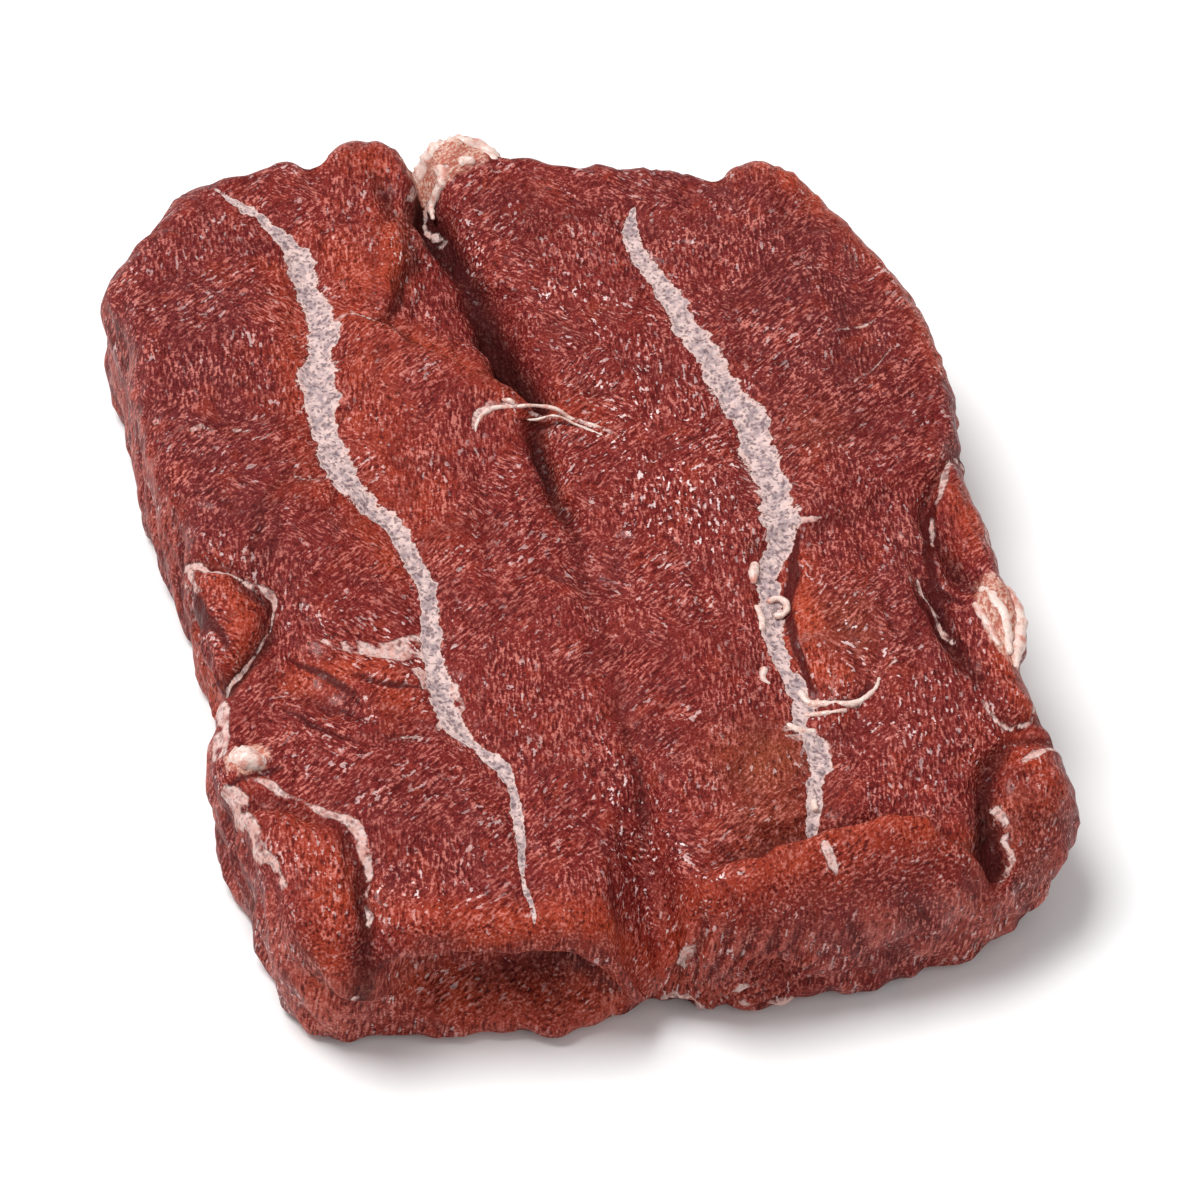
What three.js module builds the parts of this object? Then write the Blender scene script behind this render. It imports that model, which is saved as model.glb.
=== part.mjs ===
// Butterfly steak: a raw slice of beef shoulder, split along its middle and laid open.
//
// Millimetres, +Z up, +X to the right and +Y to the back. The origin is on the table, under the
// middle of the box. The steak is one closed body made of three sheets that share their edges:
// the cut face on top, a band round the side and the flat underside.
//
// The plan tables below are drawn in millimetres at life size. The finished surface is then
// fitted to the three driving sizes, so those alone resize the whole steak.

import * as THREE from 'three';
import { mergeVertices } from 'three/addons/utils/BufferGeometryUtils.js';

// Driving sizes
const WIDTH = 97;
const LENGTH = 123;
const HEIGHT = 24;

// Fineness of the facets
const CELLS_ACROSS = 50;
const CELLS_LONG = 58;
const RIM_ROWS = 4;
const WALL_ROWS = 6;

// General form of the meat, before its folds
const FACE_LEVEL = 20;      // cut face above the table
const FOOT_RADIUS = 2.5;    // rounding where the side meets the table
const FOOT_INSET = 1.2;     // how far the underside stays inside the widest outline
const RIM_SMOOTHING = 9;    // length of rim over which ragged edges are evened out inwards
const FOOT_EVENNESS = 0.7;  // share of the rim's raggedness that is gone at the foot
const SIDE_FADE = 0.25;     // share of the side's height over which its relief sets in
const FINEST = 2;           // creases narrower than the facets can follow are widened to this
const STEP_SOFTNESS = 1;    // how gradual the step at an overlap is
const WELD = 1e-3;          // points closer than this are one point

// Widest outline in plan, one list a side. Each list ends where the next begins.
const FRONT_EDGE = [
  [-44.5, -51], [-43, -55.4], [-39.5, -58.6], [-35.6, -59.2], [-32, -58], [-26, -58.4], [-18, -59.4],
  [-10, -60.6], [-5.6, -60.6], [-2.4, -58.4], [0.4, -59.8], [4, -61], [10, -61], [17, -60.6], [24, -60],
  [30, -58.8], [35.5, -57.4], [40, -55.4], [44.4, -52.4], [47.4, -48],
];
const RIGHT_EDGE = [
  [47.4, -48], [46.8, -41], [45.4, -35], [45.2, -30], [47.2, -25.5], [47.4, -22], [46.2, -18],
  [46.8, -11], [46.2, -5], [46.6, -0.5], [47.8, 4], [48.8, 10], [49.3, 18], [48.8, 26], [46.8, 32.5],
  [44.8, 38.5], [42, 45],
];
const BACK_EDGE = [
  [42, 45], [39, 48.6], [35.4, 51.2], [31.6, 51], [29.2, 48.8], [26.6, 51], [22, 52.4], [17, 54.2],
  [11.5, 54.4], [8.5, 56.4], [4.8, 56], [2.6, 59.6], [-1.5, 61.2], [-5.6, 59], [-8, 60],
  [-11.5, 61.6], [-15, 60.6], [-17.5, 57.8], [-21, 59.6], [-25, 58], [-30, 57.6], [-34.6, 55.6],
  [-38, 50.8], [-42.5, 46],
];
const LEFT_EDGE = [
  [-42.5, 46], [-46, 41], [-45.6, 36], [-44.6, 31], [-45.6, 24], [-45.6, 15], [-45, 8], [-44, 1],
  [-44.8, -4], [-45, -11], [-44.6, -17], [-43.4, -20.5], [-45.6, -24], [-47, -29], [-47.2, -33],
  [-45.8, -37.5], [-45.2, -44], [-44.5, -51],
];

// How the rim rounds over at stations along each edge: place along the edge (x on the front and
// back, y on the sides), reach inwards, and drop
const FRONT_RIM = [
  [-44, 3, 4.5], [-40, 3.6, 6], [-36, 3.4, 4.4], [-31, 3, 3.4], [-12, 2.8, 3.2], [-7, 2.6, 2.6],
  [-3, 2.4, 2], [0, 2.8, 4], [6, 4.6, 8], [14, 6, 10], [26, 6, 10], [33, 5, 8], [40, 4.6, 7],
  [47, 4, 6],
];
const RIGHT_RIM = [
  [-48, 4, 6], [-36, 3.6, 5], [-25, 3, 4], [-8, 2.6, 3.6], [8, 2.6, 3.6], [30, 3.4, 4], [46, 3.8, 4],
];
const BACK_RIM = [
  [-42, 3.4, 3.5], [-30, 3, 3], [-12, 2.6, 2.8], [0, 2.6, 3], [14, 3, 3.2], [29, 3, 3.4], [43, 3.8, 4],
];
const LEFT_RIM = [
  [-51, 3.4, 5], [-38, 2.6, 3], [-20, 2.2, 2.4], [0, 2.2, 2.4], [30, 2.4, 2.6], [46, 3.4, 3.5],
];

// The white seams of gristle that run along each half, and their side branches: x, y, half width
// and height. They lie a little below the meat, which swells beside them.
const SEAMS = [
  [[-30, 56, 1.2, -0.3], [-24, 46, 2.2, -0.7], [-22.6, 36, 2.6, -0.8], [-24.6, 23, 3.2, -0.9],
    [-25.2, 12, 2.8, -0.8], [-21.4, -1, 2.4, -0.9], [-19.5, -12, 2.2, -0.8], [-20.8, -26, 2.4, -0.8],
    [-16.4, -39, 1.8, -0.7], [-16.8, -47, 1.4, -0.6], [-18, -57, 1.2, -0.4]],
  [[18, 45, 1.2, -0.3], [16.6, 40, 1.8, -0.6], [19.4, 28, 2.4, -0.7], [21.6, 15, 2.6, -0.7],
    [23.2, 5, 3, -0.8], [22.3, -9, 2.6, -0.8], [18.2, -20, 2.2, -0.8], [17.8, -32, 2, -0.8],
    [18, -41, 2, -0.7], [14.8, -51, 1.4, -0.5]],
  [[-32, -17, 1.4, 0], [-27, -18.2, 2, -0.8], [-21, -19, 2, -0.6]],
  [[19, -33, 1.2, -0.5], [24, -33.8, 1.2, -0.7], [30, -29.5, 1.2, -0.2]],
];

// Creases and ribs: x, y, half width and height at points along each
const CREASES = {
  middleFold: [
    [-5.6, 66, 2.6, -4], [-5.3, 53, 1.5, -4.5], [-5.6, 47, 1.6, -4.5], [-4.4, 43, 2, -3],
    [-3, 37, 2.4, -2], [-3, 31, 2, -2.8], [-2.2, 26, 1.9, -5.4], [-1, 21, 2.3, -7.4],
    [-0.2, 17, 2, -5], [-1.2, 13, 1.4, -0.8], [-2, 10, 1.4, -2.2], [-1.4, 6.5, 1.5, -3],
    [-1.3, 1, 1.4, -2], [-1.2, -5, 1.6, -0.8], [-1.4, -25, 2.4, -0.6], [-2, -36, 1.4, -1],
    [-2.6, -44, 1.2, -1.2], [-3, -50, 1, -0.6],
  ],
  lobeHollow: [[-11.5, 54, 1.8, -1], [-10.4, 50, 2, -1.6], [-10.6, 46, 1.6, -0.8]],
  leftBackDimple: [[-17, 60, 2, -1.4], [-18.5, 54, 2, -0.4]],
  rightBackNotch: [[29.6, 52, 2, -2], [29, 46, 1.6, -0.5]],
  middleRib: [[2, 27, 1.8, 0.4], [5.4, 23, 2, 1.3], [9.6, 18.4, 1.6, 0.3]],
  middleRibShadow: [[3.5, 20, 1.6, -0.4], [6.4, 16.6, 1.6, -0.9], [11, 14.6, 1.4, -0.2]],
  leftLobeGroove: [
    [-27, 6.4, 1.2, -0.8], [-31, 5.6, 1.2, -0.6], [-33.6, 2, 1.2, -0.8], [-36.6, -6, 1.4, -0.9],
  ],
  flapGroove: [
    [-44.8, -2.4, 1.2, -1.2], [-40, -5.4, 1.2, -1.2], [-37.2, -11, 1.3, -1.6],
    [-38, -15.4, 1.3, -1.6], [-43.4, -20.6, 1.6, -2.6],
  ],
  leftCut: [[-38, -23, 1.3, -0.4], [-34, -26.6, 1.4, -1], [-28, -29.6, 1.2, -0.5]],
  leftCutLow: [[-31, -31, 1.1, -0.4], [-26, -32.4, 1.2, -1], [-23, -31.2, 1.1, -0.3]],
  frontLobeGroove: [
    [-46.2, -37.6, 1.4, -1.2], [-41.6, -38.4, 1.2, -0.9], [-36.4, -43, 1.2, -0.8],
    [-34.4, -48.6, 1.4, -1.4], [-35.4, -54, 1.6, -2], [-36.4, -59, 1.8, -1.6],
  ],
  sideGroove: [
    [48, 2.4, 1.2, -1.2], [44.2, -0.3, 1.1, -1], [42.3, -3.6, 1.1, -1.2], [40.2, -6.4, 1.2, -1.4],
    [39.4, -10, 1.2, -1.2], [40.4, -16, 1.4, -1.6], [42, -19.6, 1.4, -1],
  ],
  outerGroove: [
    [35.6, -15.6, 1.2, -0.3], [37.3, -21, 1.4, -1.8], [37.8, -26.5, 1.5, -2], [38.4, -32, 1.4, -1.2],
    [38, -36, 1.2, -0.2],
  ],
  redLobeGroove: [[39, -37.6, 1.2, -0.8], [41.6, -39.6, 1.2, -1], [45, -37.6, 1.4, -1.2]],
  cornerGroove: [
    [46, -40.6, 1.4, -1], [41, -41.6, 1.3, -1.2], [37, -43.6, 1.4, -1.6], [35.4, -49, 1.6, -2.4],
    [34.6, -55, 2, -3.4],
  ],
  lipGroove: [
    [1.4, -54.4, 1.4, -0.6], [5, -53, 1.4, -1], [11, -51.8, 1.4, -1.2], [19, -50.6, 1.4, -1.2],
    [26, -50.6, 1.4, -1.2], [30.6, -53.6, 1.4, -0.8], [34, -54, 1.2, -0.2],
  ],
};

// Overlaps, where one muscle lies above the next: x, y, rise on the left of the way the line
// runs, and how far that rise reaches
const OVERLAPS = [
  [
    [3, 13, 0, 5], [-2.4, 16.6, 1.6, 5], [-7.9, 20, 2.4, 8], [-12, 23.9, 2.6, 9], [-15.6, 28.6, 2, 8],
    [-20.4, 31.4, 0, 6],
  ],
  [
    [-18.6, 31.4, 0, 4], [-15.7, 30.9, 1.4, 4], [-12.6, 36, 2.4, 6], [-10.8, 40.2, 2.6, 6],
    [-10.3, 43.7, 1.6, 6], [-9.1, 47, 1.2, 5], [-7.5, 50.4, 1, 5], [-6.2, 54, 0.8, 4], [-5.7, 60, 0, 4],
  ],
  [[-20, -24, 0, 5], [-21.8, -23, 0.3, 5], [-25, -21, 1.2, 6], [-32, -20, 0, 5]],
  [
    [-23.4, 4, 0, 5], [-27, 6, 0.8, 6], [-31, 5.8, 1.2, 7], [-34.6, 2.6, 1.3, 7], [-36.8, -4, 1.3, 6],
    [-37.2, -11, 0.9, 5], [-36, -15, 0, 4],
  ],
  [[8, -15, 0, 6], [21.6, -9, 0.9, 7], [31, -6.4, 1.1, 9], [40, -2, 0.8, 6], [47, 0, 0, 6]],
  [
    [36, -56.4, 0, 4], [33.6, -55.6, 1, 4], [29.6, -55, 2.4, 5], [26.6, -52.6, 3.3, 7], [22, -51.6, 3.3, 7],
    [15, -52.6, 2.6, 7], [9, -53.6, 2.2, 6], [4, -54.8, 1.4, 5], [-2, -56.4, 0, 4],
  ],
];

// The valley between the halves at the front: x, y, half width to the right, half width to the
// left, and height
const FRONT_VALLEY = [
  [-2.4, -38, 2, 4, 0], [-2.8, -45, 2, 4.6, -1.6], [-3, -50.5, 1.9, 5, -4.5], [-3, -55, 1.8, 5.2, -9.5],
  [-2.8, -59, 1.6, 5.2, -13.5],
];

// Swellings and hollows: x, y, half width, half length and height
const SWELLINGS = {
  leftOuter: [-36, 24, 11, 26, 1.4],
  leftLobe: [-28.5, -6, 8.5, 11, 1.6],
  leftInner: [-12, 6, 9, 15, 1.3],
  leftFlap: [-41.4, -11.5, 3.6, 7, 1.3],
  leftKnob: [-43.8, -32.4, 2.6, 2, 1.2],
  leftLow: [-28, -39, 9, 9, 1.3],
  frontLobe: [-40, -46, 5, 7, 1.1],
  leftHollow: [-6.5, 35, 5, 11, -2],
  rightInner: [8, -14, 9, 32, 0.8],
  rightOuter: [35, 24, 13, 24, 1.6],
  rightLobe: [29, -19, 8.5, 11, 1.9],
  sideFlap: [43.6, -11, 3, 8, 0.8],
  sideFat: [44.2, -22.4, 2.8, 5, 1.4],
  redLobe: [41.8, -33, 3.2, 4.6, 1.2],
  cornerDrop: [43, -50, 9, 9, -3.6],
  cornerLobe: [41.6, -46.4, 4.6, 5, 2],
  backKnob: [-0.6, 56.6, 4.6, 3.6, 1.4],
  backLeft: [-12, 57, 4.4, 7, 0.9],
  backRight: [36, 47, 6, 5, 1.2],
  frontLeftDip: [-20, -50, 12, 7, -0.8],
};

// Lines on the front side: x, z, half height and how far the meat stands out there. Under the left
// half the rim stands over a steep-edged trough with a ragged ledge below it. The lip curls in from
// its left end, round a hole at the table.
const TROUGH = [
  [-35, 12, 4, 0], [-31, 12, 5, -1.6], [-27, 11.8, 5.2, -3.6], [-21, 11.4, 5.2, -4.8],
  [-15, 10.4, 4.6, -4.4], [-12, 9, 3.8, -3.2], [-9.6, 6.6, 2.8, -1.8], [-7.8, 4, 2.2, -0.5],
];
const LEDGE = [
  [-34, 3, 2.4, 0], [-30, 3.4, 3, 0.6], [-24, 3, 3, 1.2], [-19, 2.4, 2.6, 0.7], [-15, 2.6, 2.8, 1.1],
  [-11, 1.6, 2.4, 0.6], [-8, 0.8, 2, 0],
];
const LIP_CREASE = [
  [5, 16, 1.2, 0], [7.2, 12.6, 1.3, -1.2], [10, 9, 1.4, -1.5], [13, 4.4, 1.2, -1], [15, 1, 1, 0],
];
const LIP_HOLE = [[0.1, 0, 1.9, -2.6], [0.1, 1.6, 1.7, -2.2]];
const LIP_CONE = [[0.6, 2, 2, 0.6], [1.6, 8, 2.4, 1], [2.4, 15, 2.4, 0.4]];
// Left side below the flap: the meat draws back. Places along the side are in y, places down it
// are shares of its height.
const LEFT_HOLLOW = {
  rightEnd: -30, middle: -13, half: 9, depth: 2.6, down: 0.7, halfDown: 0.5,
};
// Notch in the front between the halves
const FRONT_NOTCH = { x: -2.9, half: 1.4, depth: 2 };
// How far the lines of the face wander from the plan
const WANDER = { length: 2.6, width: 0.7 };
// Gentle unevenness of every surface
const FACE_WAVES = { length: 5.2, height: 0.28 };
const SIDE_WAVES = { length: 3.6, height: 0.75 };

const bell = (distance, half) => Math.exp(-((distance / half) ** 2));
const clamp01 = (value) => Math.min(1, Math.max(0, value));
const ease = (value) => clamp01(value) ** 2 * (3 - 2 * clamp01(value));
const mix = (a, b, t) => a + (b - a) * t;

// Crossed sine waves, between about -1 and 1
function waves(x, y, length) {
  const a = Math.sin(x / length + 1.7) * Math.sin((0.9 * y) / length + 0.4);
  const b = Math.sin((1.7 * x - 1.1 * y) / length + 2.1) * Math.sin((0.8 * x + 1.9 * y) / length);
  return 0.62 * a + 0.38 * b;
}

// Nearest place on a line of points: distance, side (positive on the left of the way the line
// runs) and the line's own values there
function nearestOnLine(line, x, y) {
  let best = { distance: Infinity };
  for (let k = 0; k + 1 < line.length; k += 1) {
    const [ax, ay, ...first] = line[k];
    const [bx, by, ...second] = line[k + 1];
    const dx = bx - ax;
    const dy = by - ay;
    const t = clamp01(((x - ax) * dx + (y - ay) * dy) / (dx * dx + dy * dy));
    const distance = Math.hypot(x - ax - t * dx, y - ay - t * dy);
    if (distance < best.distance) {
      const side = dx * (y - ay) - dy * (x - ax) >= 0 ? distance : -distance;
      best = { distance, side, values: first.map((value, i) => mix(value, second[i], t)) };
    }
  }
  return best;
}

// A coordinate moved a little to and fro, so that no line of the face runs straight
const wander = (a, b) => a + WANDER.width * waves(a, b, WANDER.length);

// What a groove or rib adds at a place: its height times a bell of the distance
function ridge(line, x, y, narrowest) {
  const { distance, values: [half, height] } = nearestOnLine(line, x, y);
  return height * bell(distance, Math.max(half, narrowest));
}

// What an overlap adds: a soft step that sinks back further away
function overlap(line, x, y) {
  const { side, values: [rise, reach] } = nearestOnLine(line, x, y);
  return (rise / (1 + Math.exp(-side / STEP_SOFTNESS))) * bell(Math.max(side, 0), reach);
}

// Height of the cut face above the table at a place in plan
function faceHeight(planX, planY) {
  let z = FACE_LEVEL + FACE_WAVES.height * waves(planX, planY, FACE_WAVES.length);
  for (const line of SEAMS) {
    z += ridge(line, planX, planY, FINEST);
  }
  const x = wander(planX, planY);
  const y = wander(planY, planX);
  for (const line of Object.values(CREASES)) {
    z += ridge(line, x, y, FINEST);
  }
  for (const line of OVERLAPS) {
    z += overlap(line, x, y);
  }
  for (const [middleX, middleY, halfWide, halfLong, height] of Object.values(SWELLINGS)) {
    z += height * bell(Math.hypot((x - middleX) / halfWide, (y - middleY) / halfLong), 1);
  }
  const { side, values: [toRight, toLeft, height] } = nearestOnLine(FRONT_VALLEY, x, y);
  return z + height * bell(side, side > 0 ? toRight : toLeft);
}

// Values between stations, along an edge
function between(stations, place) {
  let k = 0;
  while (k < stations.length - 2 && stations[k + 1][0] < place) k += 1;
  const t = ease((place - stations[k][0]) / (stations[k + 1][0] - stations[k][0]));
  return [mix(stations[k][1], stations[k + 1][1], t), mix(stations[k][2], stations[k + 1][2], t)];
}

// One loop of stations round the widest outline, anticlockwise from the front left corner, with
// its point, its rim's reach and drop, and whether it is on the front
function outlineLoop() {
  const edges = [
    { points: FRONT_EDGE, cells: CELLS_ACROSS, rim: FRONT_RIM, axis: 0, front: 1 },
    { points: RIGHT_EDGE, cells: CELLS_LONG, rim: RIGHT_RIM, axis: 1, front: 0 },
    { points: BACK_EDGE, cells: CELLS_ACROSS, rim: BACK_RIM, axis: 0, front: 0 },
    { points: LEFT_EDGE, cells: CELLS_LONG, rim: LEFT_RIM, axis: 1, front: 0 },
  ];
  return edges.flatMap(({ points, cells, rim, axis, front }) => {
    const places = points.map(([x, y]) => new THREE.Vector3(x, y, 0));
    const curve = new THREE.CatmullRomCurve3(places, false, 'catmullrom');
    return curve.getSpacedPoints(cells).slice(0, cells).map((place) => {
      const [reach, drop] = between(rim, place.getComponent(axis));
      return { x: place.x, y: place.y, reach, drop, front };
    });
  });
}

// Adds to each station its core: the outline evened out along the rim and drawn in by the rim's
// reach. The cut face spans the cores, and the rim rounds over from core to outline.
function addCores(loop) {
  const count = loop.length;
  const spacing = (2 * (WIDTH + LENGTH)) / count;
  const span = Math.round(RIM_SMOOTHING / spacing);
  const even = loop.map((_, i) => {
    let [x, y, total] = [0, 0, 0];
    for (let k = -span; k <= span; k += 1) {
      const weight = span + 1 - Math.abs(k);
      const station = loop[(i + k + count) % count];
      x += station.x * weight;
      y += station.y * weight;
      total += weight;
    }
    return [x / total, y / total];
  });
  loop.forEach((station, i) => {
    const [ax, ay] = even[(i + count - 1) % count];
    const [bx, by] = even[(i + 1) % count];
    const along = Math.hypot(bx - ax, by - ay);
    const out = [(by - ay) / along, (ax - bx) / along];
    station.core = [even[i][0] - out[0] * station.reach, even[i][1] - out[1] * station.reach];
    const step = [station.x - station.core[0], station.y - station.core[1]];
    const length = Math.hypot(...step);
    station.out = [step[0] / length, step[1] / length];
    station.foot = [mix(station.x, even[i][0], FOOT_EVENNESS), mix(station.y, even[i][1], FOOT_EVENNESS)];
  });
  return loop;
}

// How far the side stands out from the outline, from 0 at the rim down to 1 at the foot
function sideOffset({ x, y, front }, down, z) {
  let shape = SIDE_WAVES.height * waves(x + y + 0.6 * z, y - x - 1.4 * z, SIDE_WAVES.length);
  if (front) {
    shape -= FRONT_NOTCH.depth * bell(x - FRONT_NOTCH.x, FRONT_NOTCH.half);
    for (const line of [LEDGE, LIP_CREASE, LIP_HOLE, LIP_CONE]) {
      shape += ridge(line, x, z, 0);
    }
    const { distance, values: [half, depth] } = nearestOnLine(TROUGH, x, z);
    shape += depth * bell((distance / half) ** 2, 1);
  }
  if (x < LEFT_HOLLOW.rightEnd) {
    const deep = bell(y - LEFT_HOLLOW.middle, LEFT_HOLLOW.half);
    shape -= LEFT_HOLLOW.depth * deep * bell(down - LEFT_HOLLOW.down, LEFT_HOLLOW.halfDown);
  }
  return ease(down / SIDE_FADE) * shape - FOOT_INSET * ease(down);
}

// Rows of points from the cores out over the rim, down the side and under to the flat foot
function sideRows(loop) {
  const rows = [loop.map(({ core }) => [...core, faceHeight(...core)])];
  for (let r = 1; r <= RIM_ROWS; r += 1) {
    const angle = (r / RIM_ROWS) * (Math.PI / 2);
    rows.push(loop.map(({ x, y, core, drop }) => {
      const px = mix(core[0], x, Math.sin(angle));
      const py = mix(core[1], y, Math.sin(angle));
      return [px, py, faceHeight(px, py) - drop * (1 - Math.cos(angle))];
    }));
  }
  const rim = rows.at(-1);
  for (let r = 1; r <= WALL_ROWS; r += 1) {
    const down = r / WALL_ROWS;
    rows.push(loop.map((station, i) => {
      const z = mix(rim[i][2], FOOT_RADIUS, down);
      const offset = sideOffset(station, down, z);
      const x = mix(station.x, station.foot[0], ease(down));
      const y = mix(station.y, station.foot[1], ease(down));
      return [x + station.out[0] * offset, y + station.out[1] * offset, z];
    }));
  }
  const wall = rows.at(-1);
  for (const angle of [Math.PI / 4, Math.PI / 2]) {
    const inset = FOOT_RADIUS * (1 - Math.cos(angle));
    const z = FOOT_RADIUS * (1 - Math.sin(angle));
    rows.push(wall.map(([x, y], i) => [x - loop[i].out[0] * inset, y - loop[i].out[1] * inset, z]));
  }
  return rows;
}

// The cut face: a grid of points blended between its four edges, which are the rows' first points
function faceGrid(rim) {
  const cornerBackRight = CELLS_ACROSS + CELLS_LONG;
  const cornerBackLeft = cornerBackRight + CELLS_ACROSS;
  const grid = [];
  for (let i = 0; i <= CELLS_ACROSS; i += 1) {
    grid.push([]);
    for (let j = 0; j <= CELLS_LONG; j += 1) {
      const u = i / CELLS_ACROSS;
      const v = j / CELLS_LONG;
      const front = rim[i];
      const right = rim[CELLS_ACROSS + j];
      const back = rim[cornerBackLeft - i];
      const left = rim[(rim.length - j) % rim.length];
      const corner = (axis) => mix(
        mix(rim[0][axis], rim[CELLS_ACROSS][axis], u),
        mix(rim[cornerBackLeft][axis], rim[cornerBackRight][axis], u),
        v,
      );
      const [x, y] = [0, 1].map((axis) => mix(front[axis], back[axis], v)
        + mix(left[axis], right[axis], u) - corner(axis));
      grid[i].push([x, y, faceHeight(x, y)]);
    }
  }
  for (let i = 0; i <= CELLS_ACROSS; i += 1) {
    grid[i][0] = rim[i];
    grid[i][CELLS_LONG] = rim[cornerBackLeft - i];
  }
  for (let j = 0; j <= CELLS_LONG; j += 1) {
    grid[CELLS_ACROSS][j] = rim[CELLS_ACROSS + j];
    grid[0][j] = rim[(rim.length - j) % rim.length];
  }
  return grid;
}

function steakGeometry() {
  const loop = addCores(outlineLoop());
  const rows = sideRows(loop);
  const triangles = [];
  const quad = (a, b, c, d) => triangles.push(a, b, c, a, c, d);

  const face = faceGrid(rows[0]);
  for (let i = 0; i < CELLS_ACROSS; i += 1) {
    for (let j = 0; j < CELLS_LONG; j += 1) {
      quad(face[i][j], face[i + 1][j], face[i + 1][j + 1], face[i][j + 1]);
    }
  }
  for (let r = 0; r + 1 < rows.length; r += 1) {
    loop.forEach((_, i) => {
      const next = (i + 1) % loop.length;
      quad(rows[r][i], rows[r + 1][i], rows[r + 1][next], rows[r][next]);
    });
  }
  const foot = rows.at(-1);
  const flat = foot.map(([x, y]) => new THREE.Vector2(x, y));
  for (const [a, b, c] of THREE.ShapeUtils.triangulateShape(flat, [])) {
    triangles.push(foot[a], foot[c], foot[b]);
  }

  const geometry = new THREE.BufferGeometry();
  geometry.setAttribute('position', new THREE.Float32BufferAttribute(triangles.flat(), 3));
  return fitToSizes(mergeVertices(geometry, WELD));
}

// Stretches the surface to the driving sizes, with the underside on the table
function fitToSizes(geometry) {
  geometry.computeBoundingBox();
  const size = geometry.boundingBox.getSize(new THREE.Vector3());
  const middle = geometry.boundingBox.getCenter(new THREE.Vector3());
  geometry.translate(-middle.x, -middle.y, -geometry.boundingBox.min.z);
  geometry.scale(WIDTH / size.x, LENGTH / size.y, HEIGHT / size.z);
  geometry.computeVertexNormals();
  return geometry;
}

const rawBeef = new THREE.MeshStandardMaterial({ color: 0x91403c, roughness: 0.5, metalness: 0 });

const steak = new THREE.Mesh(steakGeometry(), rawBeef);
steak.name = 'steak';

const butterflySteak = new THREE.Group();
butterflySteak.add(steak);

export default butterflySteak;
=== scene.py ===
# %% [markdown]
# # Butterfly steak
# A slice of raw beef shoulder, split along its middle and laid open like a book. Its cut face shows
# two halves with a fold between them, a white seam of gristle in each half, and muscles that overlap
# at their edges. This lesson rebuilds it as one closed skin of meat worked out with numpy, a few
# knobs of fat, and two shader materials.
#
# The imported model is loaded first. It gives the place and size that the finished meat must keep.

# %% Load the frame
import math

import bpy
import numpy as np
from mathutils import Matrix, Vector


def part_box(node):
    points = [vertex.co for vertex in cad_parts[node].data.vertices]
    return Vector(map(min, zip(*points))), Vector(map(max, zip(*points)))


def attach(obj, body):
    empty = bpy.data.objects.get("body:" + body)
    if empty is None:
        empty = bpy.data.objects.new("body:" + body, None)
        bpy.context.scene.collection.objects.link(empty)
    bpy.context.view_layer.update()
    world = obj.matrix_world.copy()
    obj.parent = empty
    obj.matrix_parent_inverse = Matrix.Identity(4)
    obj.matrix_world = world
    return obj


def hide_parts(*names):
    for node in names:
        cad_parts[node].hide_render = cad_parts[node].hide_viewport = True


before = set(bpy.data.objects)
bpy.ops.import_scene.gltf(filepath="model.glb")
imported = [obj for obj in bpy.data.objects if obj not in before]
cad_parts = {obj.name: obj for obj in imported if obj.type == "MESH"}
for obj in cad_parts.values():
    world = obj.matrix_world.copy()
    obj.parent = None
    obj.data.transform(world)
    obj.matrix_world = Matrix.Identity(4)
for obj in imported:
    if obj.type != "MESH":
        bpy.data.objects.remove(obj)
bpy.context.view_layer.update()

BOX_LOW, BOX_HIGH = (np.array(corner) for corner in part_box("steak"))
MM = 0.001
print("steak box, mm:", np.round((BOX_HIGH - BOX_LOW) / MM, 1))

# %% [markdown]
# ## Sizes and places
# Everything below is drawn in millimetres at life size, seen from above: x to the right, y to the
# back and z up from the table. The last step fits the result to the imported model's box, so these
# numbers only set proportions. A few points shape each edge, and curves fill in between them.

# %% Plan of the steak
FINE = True
CELLS_ACROSS = 190 if FINE else 96
CELLS_LONG = 246 if FINE else 124
RIM_ROWS = 10
WALL_ROWS = 20
FOOT_ROWS = 3
BASE_RINGS = 12

FACE_LEVEL = 20.0      # cut face above the table
FOOT_RADIUS = 2.5      # rounding where the side meets the table
FOOT_INSET = 1.2       # how far the underside stays inside the widest outline
RIM_SMOOTHING = 9.0    # length of rim over which ragged edges are evened out inwards
FOOT_EVENNESS = 0.7    # share of the rim's raggedness that is gone at the foot
STEP_SOFTNESS = 0.36   # how gradual the step at an overlap is

FRONT_EDGE = [
    (-44.5, -51), (-43, -55.4), (-39.5, -58.6), (-35.6, -59.2), (-32, -58), (-26, -58.4), (-18, -59.4),
    (-10, -60.6), (-5.6, -60.6), (-2.4, -58.4), (0.4, -59.8), (4, -61), (10, -61), (17, -60.6),
    (24, -60), (30, -58.8), (35.5, -57.4), (40, -55.4), (44.4, -52.4), (47.4, -48),
]
RIGHT_EDGE = [
    (47.4, -48), (46.8, -41), (45.4, -35), (45.2, -30), (47.2, -25.5), (47.4, -22), (46.2, -18),
    (46.8, -11), (46.2, -5), (46.6, -0.5), (47.8, 4), (48.8, 10), (49.3, 18), (48.8, 26), (46.8, 32.5),
    (44.8, 38.5), (42, 45),
]
BACK_EDGE = [
    (42, 45), (39, 48.6), (35.4, 51.2), (31.6, 51), (29.2, 48.8), (26.6, 51), (22, 52.4), (17, 54.2),
    (11.5, 54.4), (8.5, 56.4), (4.8, 56), (2.6, 59.6), (-1.5, 61.2), (-5.6, 59), (-8, 60),
    (-11.5, 61.6), (-15, 60.6), (-17.5, 57.8), (-21, 59.6), (-25, 58), (-30, 57.6), (-34.6, 55.6),
    (-38, 50.8), (-42.5, 46),
]
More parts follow.
